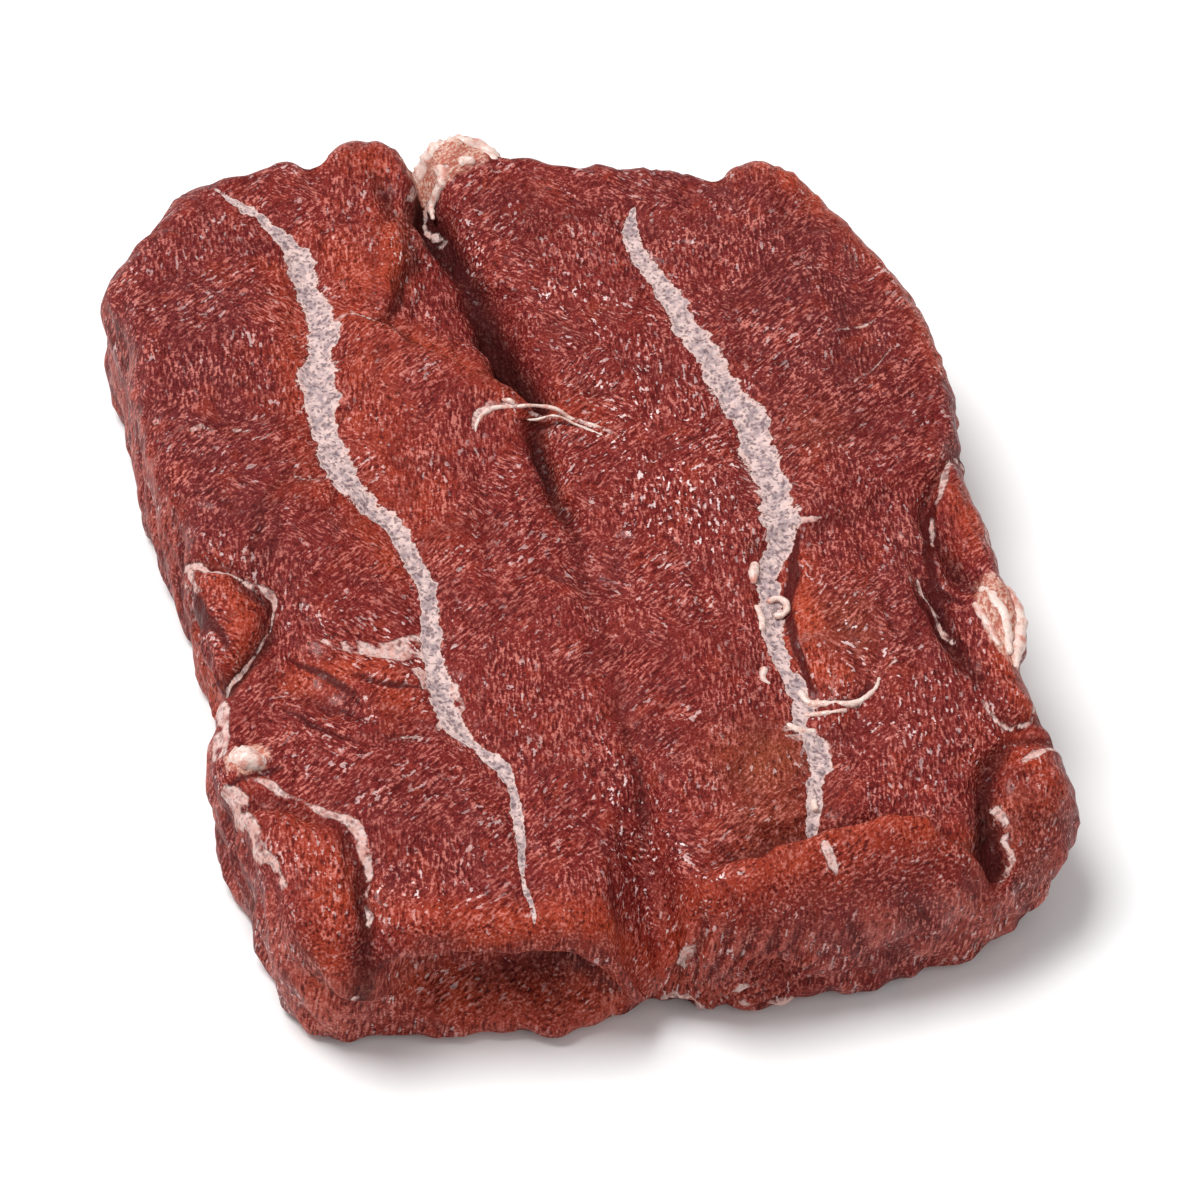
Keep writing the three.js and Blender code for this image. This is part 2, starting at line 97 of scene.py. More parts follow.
LEFT_EDGE = [
    (-42.5, 46), (-46, 41), (-45.6, 36), (-44.6, 31), (-45.6, 24), (-45.6, 15), (-45, 8), (-44, 1),
    (-44.8, -4), (-45, -11), (-44.6, -17), (-43.4, -20.5), (-45.6, -24), (-47, -29), (-47.2, -33),
    (-45.8, -37.5), (-45.2, -44), (-44.5, -51),
]

# Stations along each edge: place (x on the front and back, y on the sides), reach inwards, drop
FRONT_RIM = [
    (-44, 3, 4.5), (-40, 3.6, 6), (-36, 3.4, 4.4), (-31, 3, 3.4), (-12, 2.8, 3.2), (-7, 2.6, 2.6),
    (-3, 2.4, 2), (0, 2.8, 4), (6, 4.6, 8), (14, 6, 10), (26, 6, 10), (33, 5, 8), (40, 4.6, 7),
    (47, 4, 6),
]
RIGHT_RIM = [
    (-48, 4, 6), (-36, 3.6, 5), (-25, 3, 4), (-8, 2.6, 3.6), (8, 2.6, 3.6), (30, 3.4, 4), (46, 3.8, 4),
]
BACK_RIM = [
    (-42, 3.4, 3.5), (-30, 3, 3), (-12, 2.6, 2.8), (0, 2.6, 3), (14, 3, 3.2), (29, 3, 3.4), (43, 3.8, 4),
]
LEFT_RIM = [(-51, 3.4, 5), (-38, 2.6, 3), (-20, 2.2, 2.4), (0, 2.2, 2.4), (30, 2.4, 2.6), (46, 3.4, 3.5)]
print("outline points:", sum(map(len, (FRONT_EDGE, RIGHT_EDGE, BACK_EDGE, LEFT_EDGE))))

# %% [markdown]
# ## Seams, folds and swellings
# A butcher reads a steak by its lines: the white seams of gristle, the deep fold where the two halves
# were split, and the edges where one muscle overlaps the next. Each is a line of a few points with a
# width and a height at every point. Carving them by hand would be slow to change, and a picture of
# heights would hide what they are, so they are kept as named lines and added up by a formula.

# %% Lines of the cut face
# x, y, half width, height
LEFT_SEAM = [
    (-30, 56, 1.2, -0.3), (-24, 46, 2.2, -0.7), (-22.6, 36, 2.6, -0.8), (-24.6, 23, 3.2, -0.9),
    (-25.2, 12, 2.8, -0.8), (-21.4, -1, 2.4, -0.9), (-19.5, -12, 2.2, -0.8), (-20.8, -26, 2.4, -0.8),
    (-16.4, -39, 1.8, -0.7), (-16.8, -47, 1.4, -0.6), (-18, -57, 1.2, -0.4),
]
RIGHT_SEAM = [
    (18, 45, 1.2, -0.3), (16.6, 40, 1.8, -0.6), (19.4, 28, 2.4, -0.7), (21.6, 15, 2.6, -0.7),
    (23.2, 5, 3, -0.8), (22.3, -9, 2.6, -0.8), (18.2, -20, 2.2, -0.8), (17.8, -32, 2, -0.8),
    (18, -41, 2, -0.7), (14.8, -51, 1.4, -0.5),
]
LEFT_BRANCH = [(-32, -17, 1.4, 0), (-27, -18.2, 2, -0.8), (-21, -19, 2, -0.6)]
RIGHT_BRANCH = [(19, -33, 1.2, -0.5), (24, -33.8, 1.2, -0.7), (30, -29.5, 1.2, -0.2)]

CREASES = {
    "middle_fold": [
        (-5.6, 66, 2.6, -4), (-5.3, 53, 1.5, -4.5), (-5.6, 47, 1.6, -4.5), (-4.4, 43, 2, -3),
        (-3, 37, 2.4, -2), (-3, 31, 2, -2.8), (-2.2, 26, 1.9, -5.4), (-1, 21, 2.3, -7.4),
        (-0.2, 17, 2, -5), (-1.2, 13, 1.4, -0.8), (-2, 10, 1.4, -2.2), (-1.4, 6.5, 1.5, -3),
        (-1.3, 1, 1.4, -2), (-1.2, -5, 1.6, -0.8), (-1.4, -25, 2.4, -0.6), (-2, -36, 1.4, -1),
        (-2.6, -44, 1.2, -1.2), (-3, -50, 1, -0.6),
    ],
    "lobe_hollow": [(-11.5, 54, 1.8, -1), (-10.4, 50, 2, -1.6), (-10.6, 46, 1.6, -0.8)],
    "left_back_dimple": [(-17, 60, 2, -1.4), (-18.5, 54, 2, -0.4)],
    "right_back_notch": [(29.6, 52, 2, -2), (29, 46, 1.6, -0.5)],
    "middle_rib": [(2, 27, 1.8, 0.4), (5.4, 23, 2, 1.3), (9.6, 18.4, 1.6, 0.3)],
    "middle_rib_shadow": [(3.5, 20, 1.6, -0.4), (6.4, 16.6, 1.6, -0.9), (11, 14.6, 1.4, -0.2)],
    "left_lobe_groove": [
        (-27, 6.4, 1.2, -0.8), (-31, 5.6, 1.2, -0.6), (-33.6, 2, 1.2, -0.8), (-36.6, -6, 1.4, -0.9),
    ],
    "flap_groove": [
        (-44.8, -2.4, 1.2, -1.2), (-40, -5.4, 1.2, -1.2), (-37.2, -11, 1.3, -1.6),
        (-38, -15.4, 1.3, -1.6), (-43.4, -20.6, 1.6, -2.6),
    ],
    "left_cut": [(-38, -23, 1.3, -0.4), (-34, -26.6, 1.4, -1), (-28, -29.6, 1.2, -0.5)],
    "left_cut_low": [(-31, -31, 1.1, -0.4), (-26, -32.4, 1.2, -1), (-23, -31.2, 1.1, -0.3)],
    "front_lobe_groove": [
        (-46.2, -37.6, 1.4, -1.2), (-41.6, -38.4, 1.2, -0.9), (-36.4, -43, 1.2, -0.8),
        (-34.4, -48.6, 1.4, -1.4), (-35.4, -54, 1.6, -2), (-36.4, -59, 1.8, -1.6),
    ],
    "side_groove": [
        (48, 2.4, 1.2, -1.2), (44.2, -0.3, 1.1, -1), (42.3, -3.6, 1.1, -1.2), (40.2, -6.4, 1.2, -1.4),
        (39.4, -10, 1.2, -1.2), (40.4, -16, 1.4, -1.6), (42, -19.6, 1.4, -1),
    ],
    "outer_groove": [
        (35.6, -15.6, 1.2, -0.3), (37.3, -21, 1.4, -1.8), (37.8, -26.5, 1.5, -2), (38.4, -32, 1.4, -1.2),
        (38, -36, 1.2, -0.2),
    ],
    "red_lobe_groove": [(39, -37.6, 1.2, -0.8), (41.6, -39.6, 1.2, -1), (45, -37.6, 1.4, -1.2)],
    "corner_groove": [
        (46, -40.6, 1.4, -1), (41, -41.6, 1.3, -1.2), (37, -43.6, 1.4, -1.6), (35.4, -49, 1.6, -2.4),
        (34.6, -55, 2, -3.4),
    ],
    "lip_groove": [
        (1.4, -54.4, 1.4, -0.6), (5, -53, 1.4, -1), (11, -51.8, 1.4, -1.2), (19, -50.6, 1.4, -1.2),
        (26, -50.6, 1.4, -1.2), (30.6, -53.6, 1.4, -0.8), (34, -54, 1.2, -0.2),
    ],
}
# x, y, rise on the left of the way the line runs, how far the rise reaches
OVERLAPS = [
    [
        (3, 13, 0, 5), (-2.4, 16.6, 1.6, 5), (-7.9, 20, 2.4, 8), (-12, 23.9, 2.6, 9), (-15.6, 28.6, 2, 8),
        (-20.4, 31.4, 0, 6),
    ],
    [
        (-18.6, 31.4, 0, 4), (-15.7, 30.9, 1.4, 4), (-12.6, 36, 2.4, 6), (-10.8, 40.2, 2.6, 6),
        (-10.3, 43.7, 1.6, 6), (-9.1, 47, 1.2, 5), (-7.5, 50.4, 1, 5), (-6.2, 54, 0.8, 4), (-5.7, 60, 0, 4),
    ],
    [(-20, -24, 0, 5), (-21.8, -23, 0.3, 5), (-25, -21, 1.2, 6), (-32, -20, 0, 5)],
    [
        (-23.4, 4, 0, 5), (-27, 6, 0.8, 6), (-31, 5.8, 1.2, 7), (-34.6, 2.6, 1.3, 7), (-36.8, -4, 1.3, 6),
        (-37.2, -11, 0.9, 5), (-36, -15, 0, 4),
    ],
    [(8, -15, 0, 6), (21.6, -9, 0.9, 7), (31, -6.4, 1.1, 9), (40, -2, 0.8, 6), (47, 0, 0, 6)],
    [
        (36, -56.4, 0, 4), (33.6, -55.6, 1, 4), (29.6, -55, 2.4, 5), (26.6, -52.6, 3.3, 7),
        (22, -51.6, 3.3, 7),
        (15, -52.6, 2.6, 7), (9, -53.6, 2.2, 6), (4, -54.8, 1.4, 5), (-2, -56.4, 0, 4),
    ],
]
# The valley between the halves at the front: x, y, half width to the right, half width to the left, height
FRONT_VALLEY = [
    (-2.4, -38, 2, 4, 0), (-2.8, -45, 2, 4.6, -1.6), (-3, -50.5, 1.9, 5, -4.5), (-3, -55, 1.8, 5.2, -9.5),
    (-2.8, -59, 1.6, 5.2, -13.5),
]
# x, y, half width, half length, height
SWELLINGS = {
    "left_outer": (-36, 24, 11, 26, 1.4),
    "left_lobe": (-28.5, -6, 8.5, 11, 1.6),
    "left_inner": (-12, 6, 9, 15, 1.3),
    "left_flap": (-41.4, -11.5, 3.6, 7, 1.3),
    "left_knob": (-43.8, -32.4, 2.6, 2, 1.2),
    "left_low": (-28, -39, 9, 9, 1.3),
    "front_lobe": (-40, -46, 5, 7, 1.1),
    "left_hollow": (-6.5, 35, 5, 11, -2),
    "right_inner": (8, -14, 9, 32, 0.8),
    "right_outer": (35, 24, 13, 24, 1.6),
    "right_lobe": (29, -19, 8.5, 11, 1.9),
    "side_flap": (43.6, -11, 3, 8, 0.8),
    "side_fat": (44.2, -22.4, 2.8, 5, 1.4),
    "red_lobe": (41.8, -33, 3.2, 4.6, 1.2),
    "corner_drop": (43, -50, 9, 9, -3.6),
    "corner_lobe": (41.6, -46.4, 4.6, 5, 2),
    "back_knob": (-0.6, 56.6, 4.6, 3.6, 1.4),
    "back_left": (-12, 57, 4.4, 7, 0.9),
    "back_right": (36, 47, 6, 5, 1.2),
    "front_left_dip": (-20, -50, 12, 7, -0.8),
}
# On the front side: x, z, half height, how far it stands out
TROUGH = [
    (-35, 12, 4, 0), (-31, 12, 5, -1.6), (-27, 11.8, 5.2, -3.6), (-21, 11.4, 5.2, -4.8),
    (-15, 10.4, 4.6, -4.4),
    (-12, 9, 3.8, -3.2), (-9.6, 6.6, 2.8, -1.8), (-7.8, 4, 2.2, -0.5),
]
LEDGE = [
    (-34, 3, 2.4, 0), (-30, 3.4, 3, 0.6), (-24, 3, 3, 1.2), (-19, 2.4, 2.6, 0.7), (-15, 2.6, 2.8, 1.1),
    (-11, 1.6, 2.4, 0.6), (-8, 0.8, 2, 0),
]
LIP_CREASE = [(5, 16, 1.2, 0), (7.2, 12.6, 1.3, -1.2), (10, 9, 1.4, -1.5), (13, 4.4, 1.2, -1), (15, 1, 1, 0)]
LIP_HOLE = [(0.1, 0, 1.9, -2.6), (0.1, 1.6, 1.7, -2.2)]
LIP_CONE = [(0.6, 2, 2, 0.6), (1.6, 8, 2.4, 1), (2.4, 15, 2.4, 0.4)]
LEFT_HOLLOW = {"middle": -13, "half": 9, "depth": 2.6}
FRONT_NOTCH = {"x": -2.9, "half": 1.4, "depth": 2}
WANDER = {"length": 2.6, "width": 0.7}
FACE_WAVES = {"length": 5.2, "height": 0.28}
SIDE_WAVES = {"length": 3.6, "height": 0.75}
print("lines:", len(CREASES) + 4 + len(OVERLAPS), " swellings:", len(SWELLINGS))

# %% [markdown]
# ## Small tools for whole arrays
# Numpy works on every point of the skin at once. `bell` is the rounded hill used for ribs, grooves
# and swellings. `on_line` finds, for all points together, how near they are to a line and what width
# and height the line has there. `grain` is a table of random numbers read between its entries, the
# plainest kind of smooth noise, stretched so that it looks like fibres.

# %% Array helpers
def bell(distance, half):
    """A rounded hill: e to the power of minus (distance / half) squared."""
    return np.exp(-((distance / half) ** 2))


def ease(value):
    """A soft step from 0 to 1: v * v * (3 - 2 v), with v held between 0 and 1."""
    held = np.clip(value, 0.0, 1.0)
    return held * held * (3.0 - 2.0 * held)


def mix(a, b, share):
    """The blend (1 - share) * a + share * b."""
    return a + (b - a) * share


def waves(x, y, length):
    """Two pairs of crossed sine waves, added up, between about -1 and 1."""
    a = np.sin(x / length + 1.7) * np.sin(0.9 * y / length + 0.4)
    b = np.sin((1.7 * x - 1.1 * y) / length + 2.1) * np.sin((0.8 * x + 1.9 * y) / length)
    return 0.62 * a + 0.38 * b


def on_line(line, *place):
    """Distance, side and the line's own values at the nearest point of a line, for every place.

    Each stretch from a to b is tried in turn: t = (p - a).(b - a) / |b - a|^2, held to 0..1, gives
    the foot of the perpendicular. The side is positive on the left of the way the line runs.
    """
    size = len(place)
    place = np.stack(place, axis=-1)
    line = np.array(line, float)
    best = np.full(place.shape[:-1], np.inf)
    side = np.zeros_like(best)
    values = np.zeros(best.shape + (line.shape[1] - size,))
    for a, b in zip(line[:-1], line[1:]):
        run = b[:size] - a[:size]
        away = place - a[:size]
        t = np.clip(away @ run / (run @ run), 0.0, 1.0)
        distance = np.linalg.norm(away - t[..., None] * run, axis=-1)
        nearer = distance < best
        turned = np.sign(run[0] * away[..., 1] - run[1] * away[..., 0] + 1e-12)
        side = np.where(nearer, turned * distance, side)
        values[nearer] = mix(a[size:], b[size:], t[nearer][:, None])
        best = np.where(nearer, distance, best)
    return best, side, values


def grain(u, v, seed):
    """Smooth random heights, -1 to 1: a table of random numbers read with an eased blend."""
    table = np.random.default_rng(seed).uniform(-1.0, 1.0, (128, 128))
    i, j = np.floor(u).astype(int), np.floor(v).astype(int)
    fu, fv = ease(u - i), ease(v - j)
    low = mix(table[i % 128, j % 128], table[(i + 1) % 128, j % 128], fu)
    high = mix(table[i % 128, (j + 1) % 128], table[(i + 1) % 128, (j + 1) % 128], fu)
    return mix(low, high, fv)


def curve(points, count):
    """Evenly spaced points on a smooth curve through the given ones (Catmull-Rom).

    Between two points the curve is a cubic whose slope at each is half the way from the point
    before it to the point after it.
    """
    points = np.array(points, float)
    ends = np.vstack([2 * points[0] - points[1], points, 2 * points[-1] - points[-2]])
    t = np.linspace(0, 1, 40, endpoint=False)[:, None]
    p0, p1, p2, p3 = (ends[k:len(ends) - 3 + k, None] for k in range(4))
    m1, m2 = (p2 - p0) / 2, (p3 - p1) / 2
    cubic = (p1 * (2 * t**3 - 3 * t**2 + 1) + m1 * (t**3 - 2 * t**2 + t)
             + p2 * (3 * t**2 - 2 * t**3) + m2 * (t**3 - t**2))
    dense = np.vstack([cubic.reshape(-1, points.shape[1]), points[-1:]])
    travelled = np.append(0, np.cumsum(np.linalg.norm(np.diff(dense, axis=0), axis=1)))
    wanted = np.linspace(0, travelled[-1], count + 1)
    return np.stack([np.interp(wanted, travelled, dense[:, k]) for k in range(points.shape[1])], axis=1)


print("bell at its half width:", round(float(bell(1.0, 1.0)), 3))

# %% [markdown]
# ## The cut face
# The height of the cut face is a level plus every groove, rib, overlap and swelling. An overlap is a
# soft step: on one side of its line the meat stands higher, and it sinks back further away.

# %% Height of the face
def wander(a, b):
    """A coordinate moved a little to and fro, so that no line of the face runs straight."""
    return a + WANDER["width"] * waves(a, b, WANDER["length"])


def face_height(x, y):
    """Height above the table: level + waves + sum of height * bell(distance / half width) over the
    lines + soft steps at the overlaps + sum of height * bell over the swellings."""
    z = FACE_LEVEL + FACE_WAVES["height"] * waves(x, y, FACE_WAVES["length"])
    for line in (LEFT_SEAM, RIGHT_SEAM, LEFT_BRANCH, RIGHT_BRANCH):
        distance, _, values = on_line(line, x, y)
        z = z + values[..., 1] * bell(distance, values[..., 0])
    x, y = wander(x, y), wander(y, x)
    for line in CREASES.values():
        distance, _, values = on_line(line, x, y)
        z = z + values[..., 1] * bell(distance, values[..., 0])
    for line in OVERLAPS:
        distance, side, values = on_line(line, x, y)
        on_top = 1.0 / (1.0 + np.exp(-side / STEP_SOFTNESS))
        z = z + values[..., 0] * on_top * bell(np.maximum(side, 0), values[..., 1])
    for cx, cy, half_wide, half_long, high in SWELLINGS.values():
        z = z + high * bell(np.hypot((x - cx) / half_wide, (y - cy) / half_long), 1.0)
    _, side, values = on_line(FRONT_VALLEY, x, y)
    return z + values[..., 2] * bell(side, np.where(side > 0, values[..., 0], values[..., 1]))


print("height at the middle, mm:", round(float(face_height(np.array(10.0), np.array(0.0))), 2))

# %% [markdown]
# ## The side
# The side is a profile carried round the outline. From the face it rounds over the rim, goes down the
# wall, and turns under at the foot. Ragged edges are evened out inwards, so that the grid of the face
# starts from a calm curve, called the core here. Under the left half the rim overhangs a trough.

# %% Outline and rows of the side
def outline():
    """The widest outline as a loop of evenly spaced stations, anticlockwise from the front left
    corner, with the rim's reach and drop there, eased between the listed ones."""
    edges = [
        (FRONT_EDGE, CELLS_ACROSS, FRONT_RIM, 0), (RIGHT_EDGE, CELLS_LONG, RIGHT_RIM, 1),
        (BACK_EDGE, CELLS_ACROSS, BACK_RIM, 0), (LEFT_EDGE, CELLS_LONG, LEFT_RIM, 1),
    ]
    places, rims, fronts = [], [], []
    for points, cells, rim, axis in edges:
        place = curve(points, cells)[:-1]
        at, reach, drop = np.array(rim, float).T
        k = np.clip(np.searchsorted(at, place[:, axis]) - 1, 0, len(at) - 2)
        share = ease((place[:, axis] - at[k]) / (at[k + 1] - at[k]))
        places.append(place)
        rims.append(np.stack([mix(reach[k], reach[k + 1], share), mix(drop[k], drop[k + 1], share)], 1))
        fronts.append(np.full(cells, points is FRONT_EDGE, float))
    return np.vstack(places), np.vstack(rims), np.concatenate(fronts)


def even_out(loop, length):
    """A moving average round a closed loop, weighted like a tent over the given length each way."""
    spacing = np.linalg.norm(loop - np.roll(loop, 1, axis=0), axis=1).mean()
    span = max(1, round(length / spacing))
    weights = span + 1 - np.abs(np.arange(-span, span + 1))
    shifted = [w * np.roll(loop, k, axis=0) for k, w in zip(range(-span, span + 1), weights)]
    return sum(shifted) / weights.sum()


EDGE, RIM, FRONT = outline()
EVEN = even_out(EDGE, RIM_SMOOTHING)
along = np.roll(EVEN, -1, axis=0) - np.roll(EVEN, 1, axis=0)
OUTWARD = np.stack([along[:, 1], -along[:, 0]], axis=1) / np.linalg.norm(along, axis=1)[:, None]
CORE = EVEN - OUTWARD * RIM[:, :1]
OUT = (EDGE - CORE) / np.linalg.norm(EDGE - CORE, axis=1)[:, None]
FOOT = mix(EDGE, EVEN, FOOT_EVENNESS)
print("stations round the side:", len(EDGE))


def side_offset(x, y, z, down):
    """How far the wall stands out at a share `down` of its height: on the front the notch and the
    lines of the ledge and lip, each height * bell, and the trough, depth * e to the power of minus
    (distance / half)^4; then the drawn-back left side and gentle waves."""
    x, y, z, down = np.broadcast_arrays(x, y, z, down)
    shape = -FRONT_NOTCH["depth"] * bell(x - FRONT_NOTCH["x"], FRONT_NOTCH["half"])
    for line in (LEDGE, LIP_CREASE, LIP_HOLE, LIP_CONE):
        distance, _, values = on_line(line, x, z)
        shape = shape + values[..., 1] * bell(distance, values[..., 0])
    distance, _, values = on_line(TROUGH, x, z)
    shape = shape + values[..., 1] * bell((distance / values[..., 0]) ** 2, 1)
    left = np.where(x < -30, -LEFT_HOLLOW["depth"] * bell(y - LEFT_HOLLOW["middle"], LEFT_HOLLOW["half"]), 0)
    uneven = SIDE_WAVES["height"] * waves(x + y + 0.6 * z, y - x - 1.4 * z, SIDE_WAVES["length"])
    shape = FRONT * shape + left * bell(down - 0.7, 0.5) + uneven
    return ease(down * 4) * shape - FOOT_INSET * ease(down)


def side_rows():
    """Rows of points from the cores to the foot: a quarter turn over the rim, x = mix(core, edge,
    sin a), z = face height - drop * (1 - cos a); then straight down the wall, moved in and out by
    side_offset; then a quarter turn under."""
    angles = np.linspace(0, math.pi / 2, RIM_ROWS + 1)[:, None]
    x, y = (mix(CORE[:, k], EDGE[:, k], np.sin(angles)) for k in (0, 1))
    rim = np.stack([x, y, face_height(x, y) - RIM[:, 1] * (1 - np.cos(angles))], axis=-1)
    down = (np.arange(1, WALL_ROWS + 1) / WALL_ROWS)[:, None]
    z = mix(rim[-1, :, 2], FOOT_RADIUS, down)
    x, y = (mix(EDGE[:, k], FOOT[:, k], ease(down)) for k in (0, 1))
    offset = side_offset(EDGE[:, 0], EDGE[:, 1], z, down)
    wall = np.stack([x + OUT[:, 0] * offset, y + OUT[:, 1] * offset, z], axis=-1)
    turn = (np.arange(1, FOOT_ROWS + 1) / FOOT_ROWS * math.pi / 2)[:, None, None]
    under = wall[-1, :, :2] - OUT * FOOT_RADIUS * (1 - np.cos(turn))
    height = np.broadcast_to(FOOT_RADIUS * (1 - np.sin(turn)), under.shape[:2] + (1,))
    return np.concatenate([rim, wall, np.concatenate([under, height], axis=-1)])


ROWS = side_rows()
print("rows of the side:", ROWS.shape[0])

# %% [markdown]
# ## One closed skin
# The face is a grid blended between its four edges (a Coons patch): across from left to right, plus
# from front to back, minus the blend of the four corners that both have counted. The side's rows hang
# from its edge, and rings close the flat underside. Points on shared edges are used once, so the skin
# is watertight with no merging.

# %% Faces of the skin
def face_grid():
    """Points of the face: mix(front, back, v) + mix(left, right, u) - the blend of the corners."""
    rim = ROWS[0, :, :2]
    a, b = CELLS_ACROSS, CELLS_LONG
    front, right = rim[:a + 1], rim[a:a + b + 1]
    back, left = rim[a + b:2 * a + b + 1][::-1], np.vstack([rim[2 * a + b:], rim[:1]])[::-1]
    u = np.linspace(0, 1, a + 1)[:, None, None]
    v = np.linspace(0, 1, b + 1)[None, :, None]
    corners = mix(mix(front[0], front[-1], u), mix(back[0], back[-1], u), v)
    place = mix(front[:, None], back[:, None], v) + mix(left[None], right[None], u) - corners
    return np.concatenate([place, face_height(place[..., 0], place[..., 1])[..., None]], axis=-1)


def quads(a, b, c, d):
    """Four-cornered faces from four equal arrays of point numbers."""
    return np.stack([a, b, c, d], axis=-1).reshape(-1, 4)


def skin():
    """All points and faces: the inner face grid, the side's rows and the rings of the underside."""
    grid = face_grid()
    a, b, count = CELLS_ACROSS, CELLS_LONG, len(EDGE)
    rings = np.linspace(1, 0, BASE_RINGS + 2)[1:-1, None, None]
    foot = ROWS[-1]
    middle = foot.mean(axis=0)
    base = middle + (foot - middle) * rings
    inside = grid[1:-1, 1:-1].reshape(-1, 3)
    points = np.vstack([ROWS.reshape(-1, 3), base.reshape(-1, 3), middle[None], inside])
    loop = np.arange(count)
    number = np.zeros((a + 1, b + 1), int)
    number[:, 0] = loop[:a + 1]
    number[a, :] = loop[a:a + b + 1]
    number[:, b] = loop[a + b:2 * a + b + 1][::-1]
    number[0, :] = np.append(loop[2 * a + b:], 0)[::-1]
    started = len(ROWS) * count + BASE_RINGS * count + 1
    number[1:-1, 1:-1] = started + np.arange((a - 1) * (b - 1)).reshape(a - 1, b - 1)
    top = quads(number[:-1, :-1], number[1:, :-1], number[1:, 1:], number[:-1, 1:])
    rows = np.arange((len(ROWS) + BASE_RINGS) * count).reshape(-1, count)
    nxt = np.roll(rows, -1, axis=1)
    side = quads(rows[:-1], rows[1:], nxt[1:], nxt[:-1])
    last = rows[-1]
    fan = np.stack([last, np.full(count, rows.size), np.roll(last, -1)], axis=-1)
    return points, [top, side], fan


POINTS, FOURS, FAN = skin()
print("points:", len(POINTS), " triangles:", 2 * sum(map(len, FOURS)) + len(FAN))

# %% [markdown]
# ## Fibres in the surface
# Cut meat is never smooth: the fibre bundles stand a little proud of each other. On the cut face they
# run in short strokes whose direction changes from muscle to muscle; on the side they run up and down.
# A bump map alone would vanish at the outline, so the strokes that are wide enough move the skin
# itself along its normals, and the shader adds only what is finer.

# %% Fine relief
STROKE_TURNS = (35, 80, -40)        # degrees from the x axis, one for each kind of muscle
# length, width and height of the strokes, the bundles they lie in and the thin cuts between
STROKES = (3.0, 0.8, 0.20)
BUNDLES = (8.0, 2.2, 0.38)
CUTS = (13.0, 3.6, 0.22)
CUT_SHARPNESS = 0.10
SIDE_STREAKS = (7.0, 1.3, 0.42)
TROUGH_STREAKS = (9.0, 1.2, 0.40)
LIP_STREAKS = 40                    # round the half circle about the lip's hole
RIM_LUMPS = (2.6, 0.45)


def point_normals(points, fours):
    """Normals of a skin: each face adds the cross product of its diagonals to its four points."""
    total = np.zeros_like(points)
    for faces in fours:
        a, b, c, d = (points[faces[:, k]] for k in range(4))
        normal = np.cross(c - a, d - b)
        for k in range(4):
            for axis in range(3):
                total[:, axis] += np.bincount(faces[:, k], normal[:, axis], len(points))
    return total / np.maximum(np.linalg.norm(total, axis=1), 1e-12)[:, None]


def strokes(x, y, turn, seed, length, width):
    """Stretched noise: the plan turned by an angle, then divided by the stroke's length and width."""
    c, s = math.cos(math.radians(turn)), math.sin(math.radians(turn))
    bend = 0.8 * np.sin(x / 7 + seed) + 0.8 * np.sin(y / 6)
    return grain((x * c + y * s) / length, (y * c - x * s + bend) / width, seed)


def three_ways(x, y, seed, length, width):
    """Strokes in three directions, each where slow noise chooses it."""
    first, second = grain(x / 15, y / 15, 3), grain(x / 11, y / 19, 4)
    kinds = [strokes(x, y, turn, seed + k, length, width) for k, turn in enumerate(STROKE_TURNS)]
    return mix(mix(kinds[0], kinds[1], ease(first + 0.5)), kinds[2], ease(second * 1.5))


def side_streaks(points):
    """Streaks of the side, -1 to 1: upright ones, level ones that follow the trough, and ones that
    fan out from the hole under the lip."""
    x, y, z = points.T
    length, width, _ = SIDE_STREAKS
    upright = grain(np.arctan2(y, x) * 52 / width + 0.25 * z, z / length, 8)
    distance, side, values = on_line(TROUGH, x, z)
    length, width, _ = TROUGH_STREAKS
    level = grain(x / length, side / width, 9)
    in_front = ease((y + 52) / -3)
    share = ease(values[:, 1] / -1.5) * bell(distance, 1.7 * values[:, 0]) * in_front
    angle = np.arctan2(z, x - LIP_HOLE[0][0])
    fan = np.sin(angle * LIP_STREAKS + 2 * grain(x / 4, z / 4, 10)) * ease(np.hypot(x, z) / 6)
    in_lip = bell(np.minimum(19 - x, 0), 4.0) * ease((x + 2) / 2) * in_front
    fading = ease((x - 20) / -12)
    return mix(mix(upright, level, share), fan, in_lip * fading)


def fine_relief(points, normals):
    """Strokes, bundles and cuts where the skin faces up, streaks where it faces out, and lumps."""
    x, y, z = points.T
    face = STROKES[2] * three_ways(x, y, 5, *STROKES[:2]) + BUNDLES[2] * three_ways(x, y, 15, *BUNDLES[:2])
    cuts = bell(three_ways(x, y, 25, *CUTS[:2]), CUT_SHARPNESS)
    side = SIDE_STREAKS[2] * side_streaks(points)
    size, height = RIM_LUMPS
    lumps = height * grain(x / size + 0.3 * z, y / size - z / size, 12)
    up = ease(normals[:, 2] * 1.6)
    relief = mix(side + lumps, face - CUTS[2] * cuts, up) * ease(z / 2)
    return relief, cuts * up


NORMALS = point_normals(POINTS, FOURS)
RELIEF, CUT_SHADE = fine_relief(POINTS, NORMALS)
STREAKS = side_streaks(POINTS) * (1 - ease(NORMALS[:, 2] * 1.4))
print("the relief moves the skin by up to", round(float(np.abs(RELIEF).max()), 2), "mm")
